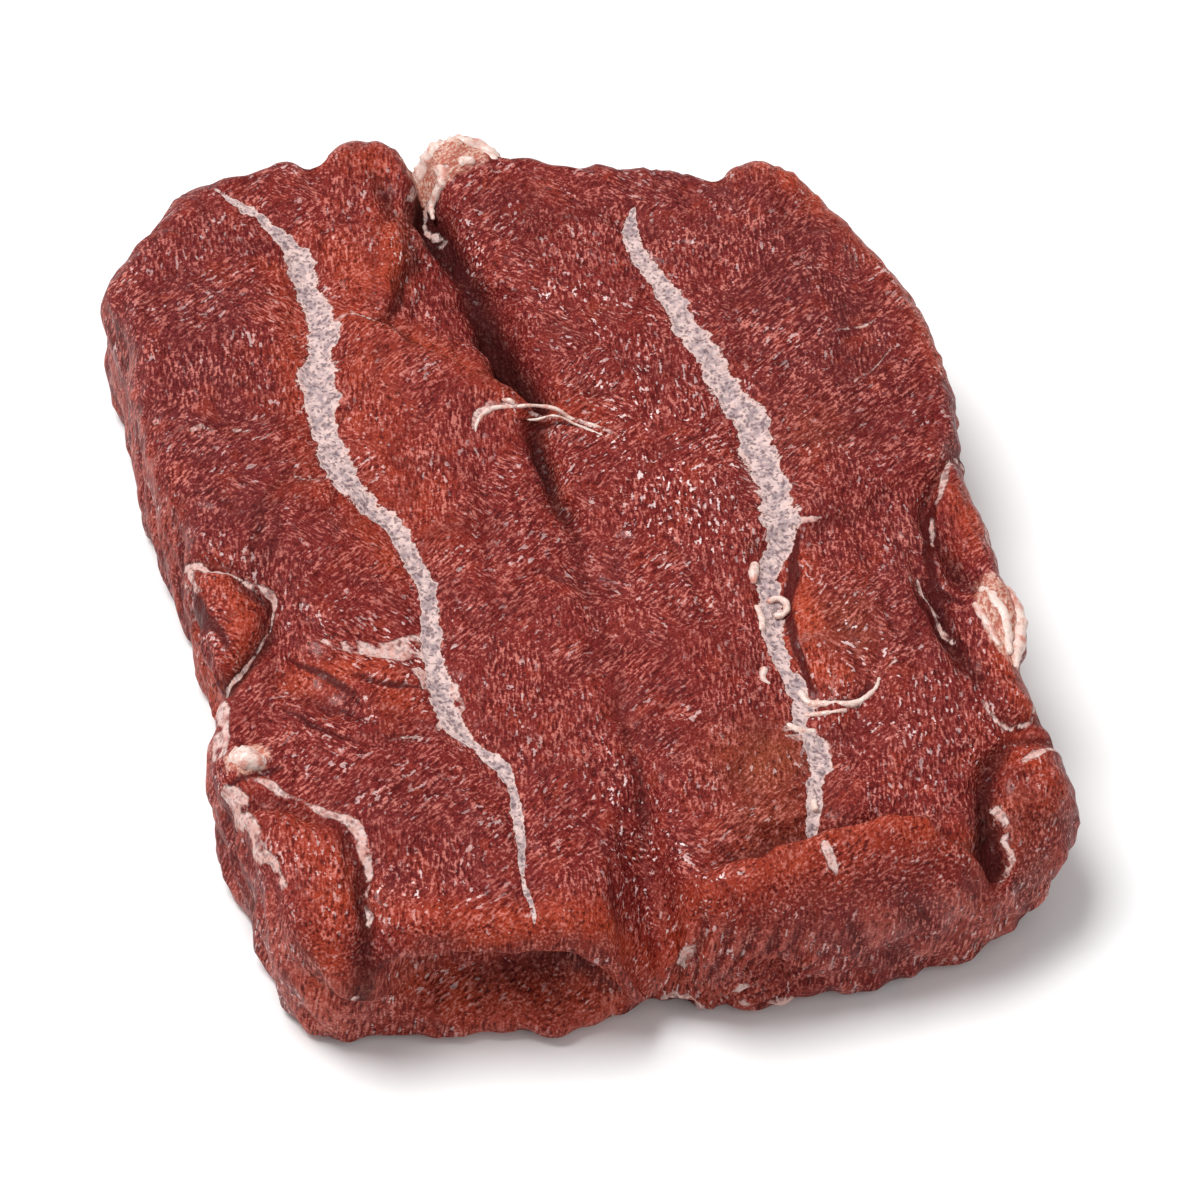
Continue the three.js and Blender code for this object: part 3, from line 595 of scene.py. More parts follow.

# %% [markdown]
# ## White gristle and pale threads
# The seams of gristle follow the long lines. Thin pale threads of sinew edge the lobes, cross the fold
# and run down the front. They could be separate strips laid on the meat, but strips catch the light at
# their edges and float where the meat is rough. So the skin only stores how near each point is to a
# line, and the shader turns that into a ragged white mark. The skin is also raised a little there.
# Narrow folds are kept in the same way: the skin sinks a little along them, and their darkness is painted
# shade. A few pale marks among the threads are painted glints.

# %% Lines of gristle
# x, y, half width of the white
LEFT_GRISTLE = [
    (-30.3, 54.5, 0.3), (-28.6, 52, 0.7), (-26.2, 49, 1), (-24, 45.5, 1.2), (-22.9, 41.5, 1.6),
    (-22.7, 38, 1.9), (-22.5, 33.5, 2), (-22.3, 30, 1.9), (-24, 25.5, 1.9), (-25.1, 22.3, 2.6),
    (-24.9, 19.5, 1.9), (-25.3, 15, 1.7), (-25.7, 10, 1.8), (-25, 5.5, 2.1), (-23.2, 2, 1.7),
    (-21.5, -1, 1.4), (-20.2, -6, 1.2), (-19.3, -10.5, 1.2), (-19.5, -14, 1.1), (-20.4, -18.5, 1.4),
    (-20.6, -22, 1.3), (-21, -27, 1.7), (-20.8, -30, 1.3), (-19, -33, 0.9), (-16.6, -37, 0.9),
    (-16.1, -41, 0.7), (-16.6, -44.5, 0.9), (-16.8, -47.3, 0.5), (-17.8, -51.5, 0.3), (-17.8, -60, 0.25),
]
RIGHT_GRISTLE = [
    (18.3, 44.8, 0.3), (17.6, 43, 0.7), (16.9, 41, 1), (17.2, 38, 1.3), (17.8, 34.5, 1.3),
    (18.9, 31, 1.3), (19.4, 28, 1.6), (20, 25, 1.8), (20.6, 22, 1.8), (20.9, 19, 1.7), (21.4, 16, 1.7),
    (22.2, 13, 1.9), (23, 10, 2.1), (23.3, 5.5, 2.1), (23.2, 1, 2), (22.9, -3.5, 2), (22.6, -7, 2.3),
    (22, -9.5, 1.7), (20.4, -12, 1.2), (18.9, -15, 1.2), (18.6, -18.5, 1.5), (17.6, -22, 1.3),
    (17.7, -26.5, 1), (18, -30, 1.1), (18.3, -33, 1.5), (17, -36.3, 1.1), (18.3, -38.6, 1.7),
    (18.4, -41.5, 1.3), (16.6, -44.6, 1.1), (16, -47.3, 0.9), (14.9, -50.3, 0.6), (14.6, -52, 0.3),
]
# Threads seen on the cut face: x, y, half width
FACE_THREADS = {
    "left_branch": [
        (-32.2, -17.2, 0.5), (-30, -18, 1.3), (-27.7, -19, 2.1), (-25.2, -19.4, 2.5), (-21.4, -18.9, 2.4),
    ],
    "left_patches": [
        (-22.4, -22.6, 1.2), (-22, -24.6, 0.8), (-19.6, -25, 1), (-19, -28, 0.5), (-22.4, -30.6, 0.7),
    ],
    "right_spur": [(22.5, -7, 0.8), (25, -7.8, 0.6), (27.3, -7.4, 0.3)],
    "right_branch": [
        (18.6, -32.8, 0.7), (21, -33.4, 0.5), (24.5, -33.8, 0.5), (26.6, -32.6, 0.45), (28, -31, 0.4),
        (30.4, -29.4, 0.3),
    ],
    "right_tag": [(17, -36.5, 0.9), (15, -37, 0.4)],
    "back_spur": [(-21, 31, 0.6), (-18.6, 31, 0.4), (-16.4, 30.2, 0.25)],
    "left_spur": [(-25, 5, 0.6), (-28, 5.6, 0.3), (-31, 6, 0.2)],
    "fold_strand": [
        (-9.3, 9.4, 0.3), (-8, 12.6, 0.5), (-6.2, 13.8, 0.6), (-3.6, 13.4, 0.5), (0, 12.8, 0.45),
        (3, 11.4, 0.5), (5.4, 10, 0.5), (7.3, 8.2, 0.3),
    ],
    "scratch": [(36.8, 12.2, 0.4), (39, 14, 0.25), (42.3, 17, 0.15)],
    "upper_scratch": [(36.3, 20, 0.3), (39, 20.6, 0.25), (41.5, 21.8, 0.2)],
    # the two glint spots are painted highlights drawn as pale marks, not sinew
    "glint_spot": [(-40.6, 14.8, 0.3), (-39.6, 15.2, 0.5), (-38.8, 14.6, 0.3)],
    "second_glint_spot": [(-36.2, 14.6, 0.4), (-34.8, 14.5, 0.4)],
    "flap_edge": [
        (-44.2, -7.6, 0.4), (-44.5, -5.4, 0.5), (-44.2, -2.6, 0.6), (-42, -4.8, 0.7), (-39.6, -6.4, 0.6),
        (-37.9, -8.1, 0.5), (-36.3, -10.8, 0.4), (-37.4, -13.6, 0.4),
    ],
    "flap_foot": [
        (-37.6, -13.7, 0.3), (-39.5, -16.6, 0.4), (-41.9, -18.7, 0.6), (-43.6, -20.6, 0.8), (-45, -24, 1.4),
        (-45.8, -27.6, 1.5), (-46.3, -30.2, 1),
    ],
    "left_strip": [
        (-46.2, -34.4, 0.5), (-45.4, -36.6, 1), (-44.8, -39.6, 0.9), (-44.6, -43, 1), (-43.8, -46.6, 0.6),
        (-43.4, -50, 0.4),
    ],
    "lobe_line": [
        (-44.4, -35.4, 0.3), (-42, -36.4, 0.5), (-39.4, -38.6, 0.3), (-36.8, -41.4, 0.5),
        (-35, -43.6, 0.9), (-33.8, -46.6, 0.8), (-33.8, -50.4, 0.5), (-34.8, -54, 0.5),
    ],
    "side_line": [
        (47.5, 1.8, 0.6), (45.6, 0.6, 0.6), (44.4, -0.8, 0.6), (43.5, -2.8, 0.55), (42.4, -6.2, 0.4),
        (40.6, -8.6, 0.3),
        (39.2, -12, 0.2),
    ],
    "side_flap_rim": [(45.6, -3, 0.3), (46.4, -8, 0.4), (46.4, -13, 0.4), (45.4, -17, 0.5)],
    "side_rim_line": [(46.4, -1, 0.2), (46.2, -9, 0.25), (45.6, -15.5, 0.3)],
    "low_side_line": [
        (38.5, -35.4, 0.3), (39.4, -38.2, 0.5), (41.2, -39.6, 0.6), (43.3, -38.7, 0.5),
        (44.6, -35.6, 0.3),
    ],
    "corner_top_line": [(41, -44.6, 0.5), (43.4, -43.2, 0.5), (46, -42, 0.4)],
    "jagged_tag": [(15.2, -38.2, 0.5), (17.3, -37.7, 1), (18.4, -39.9, 1), (19.4, -41.4, 0.9)],
    "corner_line": [(36.7, -48.4, 0.7), (37.2, -51.2, 0.5), (36.6, -53, 0.7)],
    "lobe_edge": [(-5.7, 58, 0.3), (-6.4, 53.7, 0.4), (-7.3, 50.4, 0.35), (-9.2, 49, 0.3), (-9.2, 46.6, 0.2)],
    "knob_strand": [(-2.6, 54, 0.8), (-5.4, 51.4, 0.6), (-5.3, 48, 0.3), (-4.4, 45, 0.45)],
    "cut_line": [(-31, -30.4, 0.2), (-28.4, -32, 0.25), (-25, -32.2, 0.25)],
    "groove_line": [(35.6, -17.6, 0.3), (36, -20.4, 0.5), (37, -23, 0.55), (38.3, -26.3, 0.3)],
    "low_branch": [(19.8, -41, 0.3), (22, -42, 0.2), (24, -43.5, 0.2)],
}
# Threads that go over the rim: x, y, z, half width
SIDE_THREADS = {
    "lobe_line": [
        (-34.8, -54, 19, 0.6), (-36.3, -58, 15, 0.6), (-37.3, -59.4, 10, 0.6), (-37.8, -59, 1, 0.6),
    ],
    "lip_mark": [
        (14.6, -55.2, 22.4, 1), (14.9, -56.5, 21.8, 0.9), (15.3, -57.5, 21, 0.9),
        (15.8, -58.3, 19.8, 0.5),
    ],
    "corner_line": [
        (36.6, -53, 16.4, 0.7), (37.1, -54.5, 15.6, 0.9), (36.3, -55.7, 14.2, 0.7),
        (35.3, -56.5, 13.4, 0.5),
    ],
    "curl_rim": [
        (-1.6, -57.2, 0.4, 0.8), (-1.2, -57.7, 2.4, 0.8), (-0.4, -58.9, 4.4, 0.8), (1.1, -59, 3.9, 0.8),
        (2.2, -58.8, 2.1, 0.7), (2.9, -58.2, 0.3, 0.7),
    ],
    "foot_streak": [(4.1, -59.6, 4.4, 0.6), (6.7, -59.6, 5.5, 0.6), (9.3, -59.8, 6.1, 0.5)],
    "low_streak": [(3, -59.4, 2, 0.5), (8, -59.6, 2.6, 0.6), (12.5, -59.8, 2.6, 0.5)],
    # a painted highlight at the lip's left end, drawn as a pale mark
    "painted_lip_glint": [(-0.7, -58.6, 9.4, 1.1), (-0.6, -59.2, 11.4, 1.4), (-0.4, -59.7, 13.8, 1)],
    "right_rim": [
        (46.4, -1, 17.2, 0.35), (46.2, -9, 17.4, 0.4), (46.2, -18, 17.6, 0.3), (47.2, -24, 17, 0.3),
        (45.3, -30, 17, 0.5), (45.3, -35, 17, 0.4), (46.8, -41, 16.6, 0.5), (47.3, -48, 15, 0.3),
    ],
}


# Narrow folds of the face, painted dark as shade: x, y, half width, depth
SHADED_FOLD_LINES = {
    "side_flap": [
        (42.6, -5.4, 0.5, 0.5), (39.8, -9.7, 0.7, 0.9), (37.6, -15.7, 0.7, 1), (37.7, -19.4, 0.7, 1),
        (40.4, -22, 0.5, 0.6),
    ],
    "outer_groove": [
        (35, -18.6, 0.4, 0.4), (35.2, -21.4, 0.7, 0.8), (36.4, -24.2, 0.6, 0.7), (37.6, -28, 0.4, 0.4),
    ],
    "branch": [(20, -32.8, 0.4, 0.6), (23.9, -33.2, 0.5, 0.8), (26.2, -31.8, 0.4, 0.6)],
    "seam_lobe": [
        (24.4, -9.6, 0.4, 0.6), (22.4, -12.6, 0.6, 0.9), (20.9, -17, 0.6, 1), (19.7, -22, 0.6, 1),
        (19.6, -28, 0.5, 0.9),
        (20, -31.4, 0.4, 0.6),
    ],
    "fold_strand": [(-3, 11.8, 0.4, 0.6), (1, 11.3, 0.4, 0.7), (5, 9.4, 0.3, 0.5)],
    "cut_top": [
        (-36.6, -18.3, 0.4, 0.5), (-34.2, -21.2, 0.6, 0.9), (-31.8, -24.3, 0.6, 0.9),
        (-30.3, -27, 0.4, 0.5),
    ],
    "cut_middle": [
        (-31, -21.4, 0.3, 0.4), (-28.4, -23.6, 0.5, 0.8), (-25.4, -24.6, 0.5, 0.8),
        (-22.6, -24.4, 0.3, 0.4),
    ],
    "cut_low": [
        (-38.6, -25, 0.3, 0.4), (-36.4, -28.6, 0.5, 0.8), (-33, -30.6, 0.4, 0.6),
        (-30.6, -32.1, 0.3, 0.5), (-26.2, -34.2, 0.2, 0.4),
    ],
    "knob": [(-46.6, -34.6, 0.4, 0.5), (-43.6, -35, 0.5, 0.8), (-40.8, -34.4, 0.4, 0.5)],
    "flap": [(-45.4, -3.6, 0.4, 0.5), (-45, -8.6, 0.6, 0.9), (-44.4, -13, 0.5, 0.8), (-43.2, -17, 0.4, 0.6)],
}


def shade_of_folds(x, y):
    """The largest of depth * bell(distance / half width) over the folds, which sinks the skin and sets the
    painted shade.
    """
    found = np.zeros_like(x)
    for line in SHADED_FOLD_LINES.values():
        distance, _, values = on_line(line, wander(x, y), wander(y, x))
        found = np.maximum(found, values[:, 1] * bell(distance, values[:, 0]))
    return found


THREAD_WHITE = 0.6      # share of a thread's width that is white


def nearness_to_threads(points):
    """The largest of (half width - distance) over all threads and painted glint marks, in millimetres, and
    never under -2.
    """
    x, y, z = points.T
    up = face_height(x, y) - z
    nearest = np.full(len(points), -2.0)
    for line in FACE_THREADS.values():
        distance, _, half = on_line(line, wander(x, y), wander(y, x))
        nearest = np.maximum(nearest, THREAD_WHITE * half[:, 0] - np.hypot(distance, np.maximum(up - 3, 0)))
    for line in SIDE_THREADS.values():
        distance, _, half = on_line(line, x, y, z)
        nearest = np.maximum(nearest, THREAD_WHITE * half[:, 0] - distance)
    return nearest


SEAM_WHITE = 0.9        # share of a seam's width that is white


def off_seam(line, points):
    """Distance from a seam divided by its half width there, so that 0 to 1 is white. What lies below
    the face counts as further away."""
    distance, _, half = on_line(line, points[:, 0], points[:, 1])
    below = np.maximum(face_height(points[:, 0], points[:, 1]) - points[:, 2] - 1.5, 0)
    return np.clip((distance + below) / (SEAM_WHITE * half[:, 0]), 0, 6)


THREADS_AND_GLINT_SPOTS = nearness_to_threads(POINTS)
FOLD_SHADE = shade_of_folds(POINTS[:, 0], POINTS[:, 1]) * ease((POINTS[:, 2] - 10) / 4)
OFF_LEFT = off_seam(LEFT_GRISTLE, POINTS)
OFF_RIGHT = off_seam(RIGHT_GRISTLE, POINTS)
print("points in the white:", int((OFF_LEFT < 1).sum() + (OFF_RIGHT < 1).sum()))

# %% [markdown]
# ## Where the meat is darker, redder or browner, and where light and shade are painted
# The meat is more orange on its rims and folds and darker on the outer muscles. The orange on the rims,
# crests and lobe edges is partly the meat's own tint and partly painted light on the raised edges. A
# few soft patches carry this from the plan to the shader as numbers on the points. Other numbers mark
# painted shade in the grooves, under the edges of overlaps, in the trough and in the hole under the
# lip, and spots where glints are painted. They mark regions only; all the fine colour comes from noise
# in the shader.

# %% Regions
# x, y, half width, half length, strength
PURPLE_PATCHES = [
    (36, 24, 12, 24, 1), (-38, 26, 9, 26, 0.9), (-40, -2, 6, 12, 0.4), (34, -20, 9, 12, 0.5),
    (-22, -52, 12, 6, 0.3), (24, 46, 12, 6, 0.5), (-28, -42, 7, 7, 0.4), (2, 47, 5, 7, 0.3),
]
# Orange bands on rims, crests and lobe edges, partly the meat's own tint and partly painted light: x, y, half
# width, strength
ORANGE_TINT_AND_RIM_LIGHT_LINES = {
    "back_right_rim": [
        (31, 50, 2.5, 0.7), (38, 48, 3.2, 1), (44, 39, 3, 1), (47.4, 28, 2.4, 0.9), (48.4, 14, 2, 0.7),
    ],
    "lip_crest": [
        (-1, -58, 3.4, 0.6), (6, -57, 3, 0.7), (16, -54.4, 2.6, 0.75), (27, -53.6, 2.6, 0.75),
        (33, -55.6, 2.2, 0.6),
    ],
    "front_rim": [(-33, -55, 2.4, 0.6), (-24, -56.6, 2.6, 0.8), (-10, -58.6, 2.8, 0.8), (-3, -58, 2, 0.5)],
    "middle_lobe": [
        (-19, 30.6, 2.4, 0.6), (-13, 26.6, 3, 0.9), (-7, 20.4, 3, 0.8), (-2, 15, 3, 0.8),
        (5, 13, 3, 0.5),
    ],
    "seam_left": [(-26, 40, 1.8, 0.5), (-25.6, 31, 2, 0.7), (-28, 19, 2, 0.6), (-28.6, 8, 2, 0.6)],
    "inner_left": [(-19, 24, 4, 0.5), (-20, 10, 4, 0.5), (-17, -4, 4, 0.4)],
    "back_rib": [(-11, 46, 2.6, 0.8), (-13, 37, 2.4, 0.9), (-17, 35, 3, 0.7), (-18, 43, 3, 0.6)],
    "back_left": [(-14, 59, 3, 0.8), (-11, 55, 3, 0.7)],
    "left_lobe": [(-31, 4.4, 2.4, 0.6), (-25, 2, 2.4, 0.5), (-22.6, -8, 2, 0.6)],
    "flap": [(-42.6, -6, 2.4, 0.8), (-40.4, -13, 2.4, 0.8), (-42, -18, 2, 0.6)],
    "front_lobe": [(-41, -42, 3, 0.7), (-38, -50, 3, 0.8), (-40, -57, 3, 0.8)],
    "left_cut": [(-36, -22, 2.4, 0.7), (-27, -21, 2.4, 0.7), (-26, -27, 2.6, 0.7)],
    "side": [(42.6, -31, 2.4, 0.9), (43.6, -36, 2.4, 0.8)],
    "right_seam_rim": [
        (23.4, -13, 1.8, 0.7), (21.6, -20, 2.2, 0.9), (21, -26, 2.6, 0.9), (22.4, -31, 2.2, 0.7),
    ],
    "side_flap": [(44.6, -5, 2.4, 0.8), (44.4, -13, 2.2, 0.8)],
    "corner": [(41, -43, 3, 0.8), (44, -47, 2.6, 0.7)],
}
# x, y, half width, half length, strength of pale fat
FAT_PATCHES = [
    (-1, 57, 5, 3.4, 1), (-3.4, 54, 2.4, 2, 0.6), (43.8, -23, 2.4, 4.4, 1), (43.4, -28, 1.5, 3.6, 0.9),
    (-43.8, -32.4, 2.4, 1.9, 1), (-5.4, 56.4, 2, 3, 0.7),
]
BROWN_PATCHES = [
    (12, -41, 5.5, 5, 1), (26, -24, 4, 5, 0.5), (10, -50, 6, 4, 0.5), (30, 6, 4, 5, 0.35),
    (38, -51, 4, 4, 0.5),
]

# x, y, half width, half length, strength of clustered painted glints
GLINT_PATCHES = [
    (12, 9, 8, 12, 1), (-1.6, 40, 3.4, 4.4, 1), (7, 30, 5, 5, 0.7), (-24, -20, 7, 5, 0.8),
    (24, -28, 8, 7, 0.5),
    (-4, -46, 5, 8, 0.8), (31, -38, 8, 6, 0.5), (-12, 39, 3, 4, 0.7), (2, -56, 3, 3, 1), (12, -6, 8, 8, 0.6),
    (-30, -52, 9, 4, 0.5),
]


def patches(spots, x, y):
    """The sum of strength * bell(how far out in the oval) over the spots, at most 1."""
    total = sum(s * bell(np.hypot((x - cx) / w, (y - cy) / h), 1.0) for cx, cy, w, h, s in spots)
    return np.minimum(total, 1.0)


def bands(lines, x, y):
    """The largest of strength * bell(distance / half width) over the lines."""
    found = np.zeros_like(x)
    for line in lines.values():
        distance, _, values = on_line(line, x, y)
        found = np.maximum(found, values[:, 1] * bell(distance, values[:, 0]))
    return found


def shade_of_hollows(points):
    """How deep a point lies in a groove, 1 - e to the power of -depth / 1.3, and how far it lies in the
    trough or under the lip. Both are used as painted shade."""
    x, y, z = points.T
    deep = np.zeros_like(x)
    for line in CREASES.values():
        distance, _, values = on_line(line, wander(x, y), wander(y, x))
        deep = np.maximum(deep, -values[:, 1] * bell(distance, 0.7 * values[:, 0]))
    shade = np.zeros_like(x)
    for line in (TROUGH, LIP_CREASE, LIP_HOLE):
        distance, _, values = on_line(line, x, z)
        shade = np.maximum(shade, -values[:, 1] / 4.4 * bell(distance, values[:, 0]))
    return (1 - np.exp(-deep / 1.3)) * ease((z - 6) / 6), shade * ease((y + 53) / -2)


CURL_HOLE = (0.4, -58, 1.2, 2.2)      # x, y, z, radius of the hole at the lip's foot, painted dark as shade


def curl_hole(points):
    """How near a point is to the middle of the hole, a bell of the distance."""
    return bell(np.linalg.norm(points - CURL_HOLE[:3], axis=1), CURL_HOLE[3])


def shade_under_overlaps(x, y):
    """How deep a point lies under the edge of an overlap: the rise times a bell just below it. It is used as
    painted shade.
    """
    found = np.zeros_like(x)
    for line in OVERLAPS:
        _, side, values = on_line(line, wander(x, y), wander(y, x))
        found = np.maximum(found, ease(values[:, 0] / 1.8) * bell(side + 0.8, 1.2))
    return found


X, Y = POINTS[:, 0], POINTS[:, 1]
UPRIGHT = 1 - ease(NORMALS[:, 2] * 1.5)
HOLE = curl_hole(POINTS)
CREVICE_SHADE = np.maximum(shade_under_overlaps(X, Y) * ease((POINTS[:, 2] - 8) / 4), 1.6 * HOLE)
GLINT_SHARE = patches(GLINT_PATCHES, X, Y)
PURPLE = patches(PURPLE_PATCHES, X, Y)
RIM_ORANGE_AND_LIGHT = bands(ORANGE_TINT_AND_RIM_LIGHT_LINES, X, Y)
BROWN = patches(BROWN_PATCHES, X, Y)
FAT = patches(FAT_PATCHES, X, Y) * ease((POINTS[:, 2] - 7) / 5)
GROOVE_SHADE, TROUGH_SHADE = shade_of_hollows(POINTS)
print("mean orange:", round(float(RIM_ORANGE_AND_LIGHT.mean()), 3), " mean purple:", round(float(PURPLE.mean()), 3))

# %% [markdown]
# ## The meat becomes a mesh
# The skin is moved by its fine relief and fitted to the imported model's box: each axis is stretched a
# little and shifted, so that the outline lands exactly on the solid that stands for it.

# %% Fit and build the mesh
RAW_LOW, RAW_HIGH = POINTS.min(axis=0), POINTS.max(axis=0)


def fitted(points):
    """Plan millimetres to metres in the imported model's box, one stretch and shift for each axis."""
    share = (points - RAW_LOW) / (RAW_HIGH - RAW_LOW)
    return BOX_LOW + share * (BOX_HIGH - BOX_LOW)


def mesh_object(name, points, face_sets, values=None):
    """A smooth mesh object at the origin from point and face arrays, with numbers on its points."""
    mesh = bpy.data.meshes.new(name)
    faces = [face for faces in face_sets for face in faces.tolist()]
    mesh.from_pydata(points.tolist(), [], faces)
    mesh.shade_smooth()
    for title, numbers in (values or {}).items():
        mesh.attributes.new(title, "FLOAT", "POINT").data.foreach_set("value", numbers.astype(np.float32))
    piece = bpy.data.objects.new(name, mesh)
    bpy.context.scene.collection.objects.link(piece)
    return piece


raised = 0.16 * ease((THREADS_AND_GLINT_SPOTS + 0.5) / 0.6) * ease(NORMALS[:, 2] * 2)
moved = POINTS + NORMALS * (RELIEF + raised - 0.3 * FOLD_SHADE - 0.5 * HOLE)[:, None]
moved[:, 2] = np.where(POINTS[:, 2] <= 0, 0, np.maximum(moved[:, 2], 0))
meat = mesh_object("meat", fitted(moved), [*FOURS, FAN], {
    "threads": THREADS_AND_GLINT_SPOTS, "left_seam": OFF_LEFT, "right_seam": OFF_RIGHT, "purple": PURPLE,
    "orange": RIM_ORANGE_AND_LIGHT, "brown": BROWN, "groove": GROOVE_SHADE, "trough": TROUGH_SHADE, "cuts": CUT_SHADE,
    "streaks": STREAKS, "fat": FAT, "crevice_shade": CREVICE_SHADE, "upright": UPRIGHT, "glint_patches": GLINT_SHARE, "lines": FOLD_SHADE,
})
print("meat:", len(meat.data.vertices), "points,", len(meat.data.polygons), "faces")

# %% [markdown]
# ## Strands and lumps of white
# Some of the white stands clear of the meat: a strand that bridges the fold, beads along the right
# seam, and soft lumps of fat at the rim. Each is a roll, a tube of changing thickness with round
# ends, made uneven so that no two look alike. Spheres would be quicker but would look like beads of
# glass.

# %% Rolls
ROLL_SIDES = 14
# x, y, height above the face, radius
ROLLS = {
    "fold_strand": [
        [(-9.4, 9.2, -0.1, 0.14), (-8.4, 12, -0.1, 0.22), (-6.4, 13.6, -0.1, 0.34), (-3.6, 13.5, 0, 0.26),
         (-0.4, 13.1, 1.4, 0.22), (2.6, 11.8, 0.05, 0.24), (5.4, 10.2, -0.05, 0.26), (7.6, 8, -0.1, 0.14)],
        [(-2.4, 12.4, 0.1, 0.14), (0.4, 11.9, 0.8, 0.16), (3.6, 10.4, 0, 0.16), (6.4, 8.2, -0.05, 0.1)],
        [(-5, 14.6, 0, 0.2), (-4.2, 14.2, 0.2, 0.36), (-3.6, 13.8, 0.1, 0.24)],
    ],
    "seam_beads": [
        [(18.2, -12.8, -0.1, 0.5), (17.4, -14.4, 0, 0.6), (17.2, -15.8, -0.1, 0.4)],
        [(16.6, -18.6, -0.1, 0.5), (16.9, -20.6, 0, 0.55), (16.4, -22.4, -0.1, 0.4)],
        [(18.2, -18.2, 0, 0.3), (19.4, -17.9, 0, 0.35), (20.2, -19, 0, 0.4), (19.6, -20.4, 0, 0.35),
         (18.4, -20.2, 0, 0.3)],
        [(15.4, -27.6, -0.1, 0.5), (14.8, -29.2, -0.1, 0.4), (15.4, -30.2, -0.1, 0.3)],
        [(15.6, -36, -0.1, 0.4), (17.2, -37, 0, 0.5), (19, -37, -0.1, 0.4)],
        [(18.4, -31, 0, 0.4), (19.4, -32.8, 0, 0.5), (21.6, -33.6, 0, 0.4), (24.4, -33.9, 0, 0.36),
         (26.6, -32.8, 0, 0.3),
         (27.8, -31, -0.1, 0.22)],
        [(18.2, -34.4, 0, 0.3), (20.4, -35, 0, 0.3), (23, -35, 0, 0.22)],
        [(16, -46.6, -0.1, 0.4), (15.8, -48.2, -0.1, 0.35)],
    ],
    "left_knob": [
        [(-45.6, -31.6, -1.6, 0.9), (-44.4, -32.4, -0.9, 1.5), (-42.6, -32.8, -1, 1.2),
         (-41.4, -33, -1, 0.7)],
    ],
    "back_fat": [
        [(-5.9, 54.2, -1.2, 0.8), (-5, 56.2, -1, 1.1), (-3.4, 57.6, -1.2, 1.2), (-1.4, 57.8, -1, 1)],
        [(-1.8, 57.4, -1, 1.1), (0.8, 57.6, -1, 1.1), (3, 56.2, -0.8, 1), (4, 54.4, -0.7, 0.8)],
        [(-3.4, 55, -0.6, 0.8), (-3, 53, -0.3, 0.8), (-4.6, 51.2, 0.8, 0.45), (-5, 48.6, 1.6, 0.28)],
        [(-1.2, 54.6, -0.5, 0.8), (1.2, 54.4, -0.4, 0.7)],
    ],
    "right_fat": [
        [(45, -19.4, -1, 0.6), (46, -22.4, -1.2, 0.9), (45.6, -26.2, -1.2, 0.9),
         (44.2, -29.6, -0.8, 0.6), (43.4, -32, -0.5, 0.3)],
        [(42.6, -19.8, -0.3, 0.4), (43.6, -22.6, -0.4, 0.7), (44, -26, -0.5, 0.7), (43.2, -30, -0.4, 0.4)],
        [(41.2, -22.2, -0.2, 0.3), (41.8, -25.4, -0.2, 0.5), (42.4, -28.8, -0.3, 0.35)],
    ],
}


def roll(stations, seed):
    """Points and faces of one roll. Rings stand square to a smooth curve through the stations.

    The radius is the curve's own, times sqrt(1 - (1 - s / radius)^2) within one radius of each end,
    where s is the distance to that end, and times 1 + 0.3 * noise.
    """
    path = curve(stations, 10 * len(stations))
    centre = np.column_stack([path[:, :2], face_height(path[:, 0], path[:, 1]) + path[:, 2]])
    centre[:, 2] = even_path(centre[:, 2])
    travelled = np.append(0, np.cumsum(np.linalg.norm(np.diff(centre, axis=0), axis=1)))
    to_end = np.clip(np.minimum(travelled, travelled[-1] - travelled) / path[:, 3], 0, 1)
    radius = path[:, 3] * np.sqrt(1 - (1 - to_end) ** 2)
    run = np.gradient(centre, axis=0)
    across = np.cross(run, (0.0, 0.0, 1.0))
    across /= np.linalg.norm(across, axis=1)[:, None]
    up = np.cross(across, run)
    up /= np.linalg.norm(up, axis=1)[:, None]
    turn = np.linspace(0, 2 * math.pi, ROLL_SIDES, endpoint=False)[None, :, None]
    ring = np.cos(turn) * across[:, None] + np.sin(turn) * up[:, None]
    even = centre[:, None] + ring * path[:, None, 3:]
    uneven = 1 + 0.3 * grain((even[..., 0] + even[..., 2]) / 0.7, (even[..., 1] - even[..., 2]) / 0.7, seed)
    points = centre[:, None] + ring * (radius[:, None] * uneven)[..., None]
    inner = points[1:-1].reshape(-1, 3)
    rows = np.arange(len(inner)).reshape(-1, ROLL_SIDES)
    nxt = np.roll(rows, -1, axis=1)
    first, last = len(inner), len(inner) + 1
    caps = [
        np.stack([np.full(ROLL_SIDES, first), nxt[0], rows[0]], axis=-1),
        np.stack([np.full(ROLL_SIDES, last), rows[-1], nxt[-1]], axis=-1),
    ]
    faces = quads(rows[:-1], nxt[:-1], nxt[1:], rows[1:])
    return np.vstack([inner, centre[:1], centre[-1:]]), faces, np.vstack(caps)


def even_path(heights):
    """Heights along a path averaged with their neighbours, so that a roll bridges small dips."""
    padded = np.pad(heights, 3, mode="edge")
    return np.mean([padded[k:k + len(heights)] for k in range(7)], axis=0)


def roll_piece(name, rolls):
    """All rolls of one name as one mesh object."""
    points, fours, threes, count = [], [], [], 0
    for k, stations in enumerate(rolls):
        made, faces, caps = roll(stations, 40 + k)
        points.append(made)
        fours.append(faces + count)
        threes.append(caps + count)
        count += len(made)
    return mesh_object(name, fitted(np.vstack(points)), [*fours, *threes])


white_pieces = [roll_piece(name, rolls) for name, rolls in ROLLS.items()]
print("white pieces:", [piece.name for piece in white_pieces])

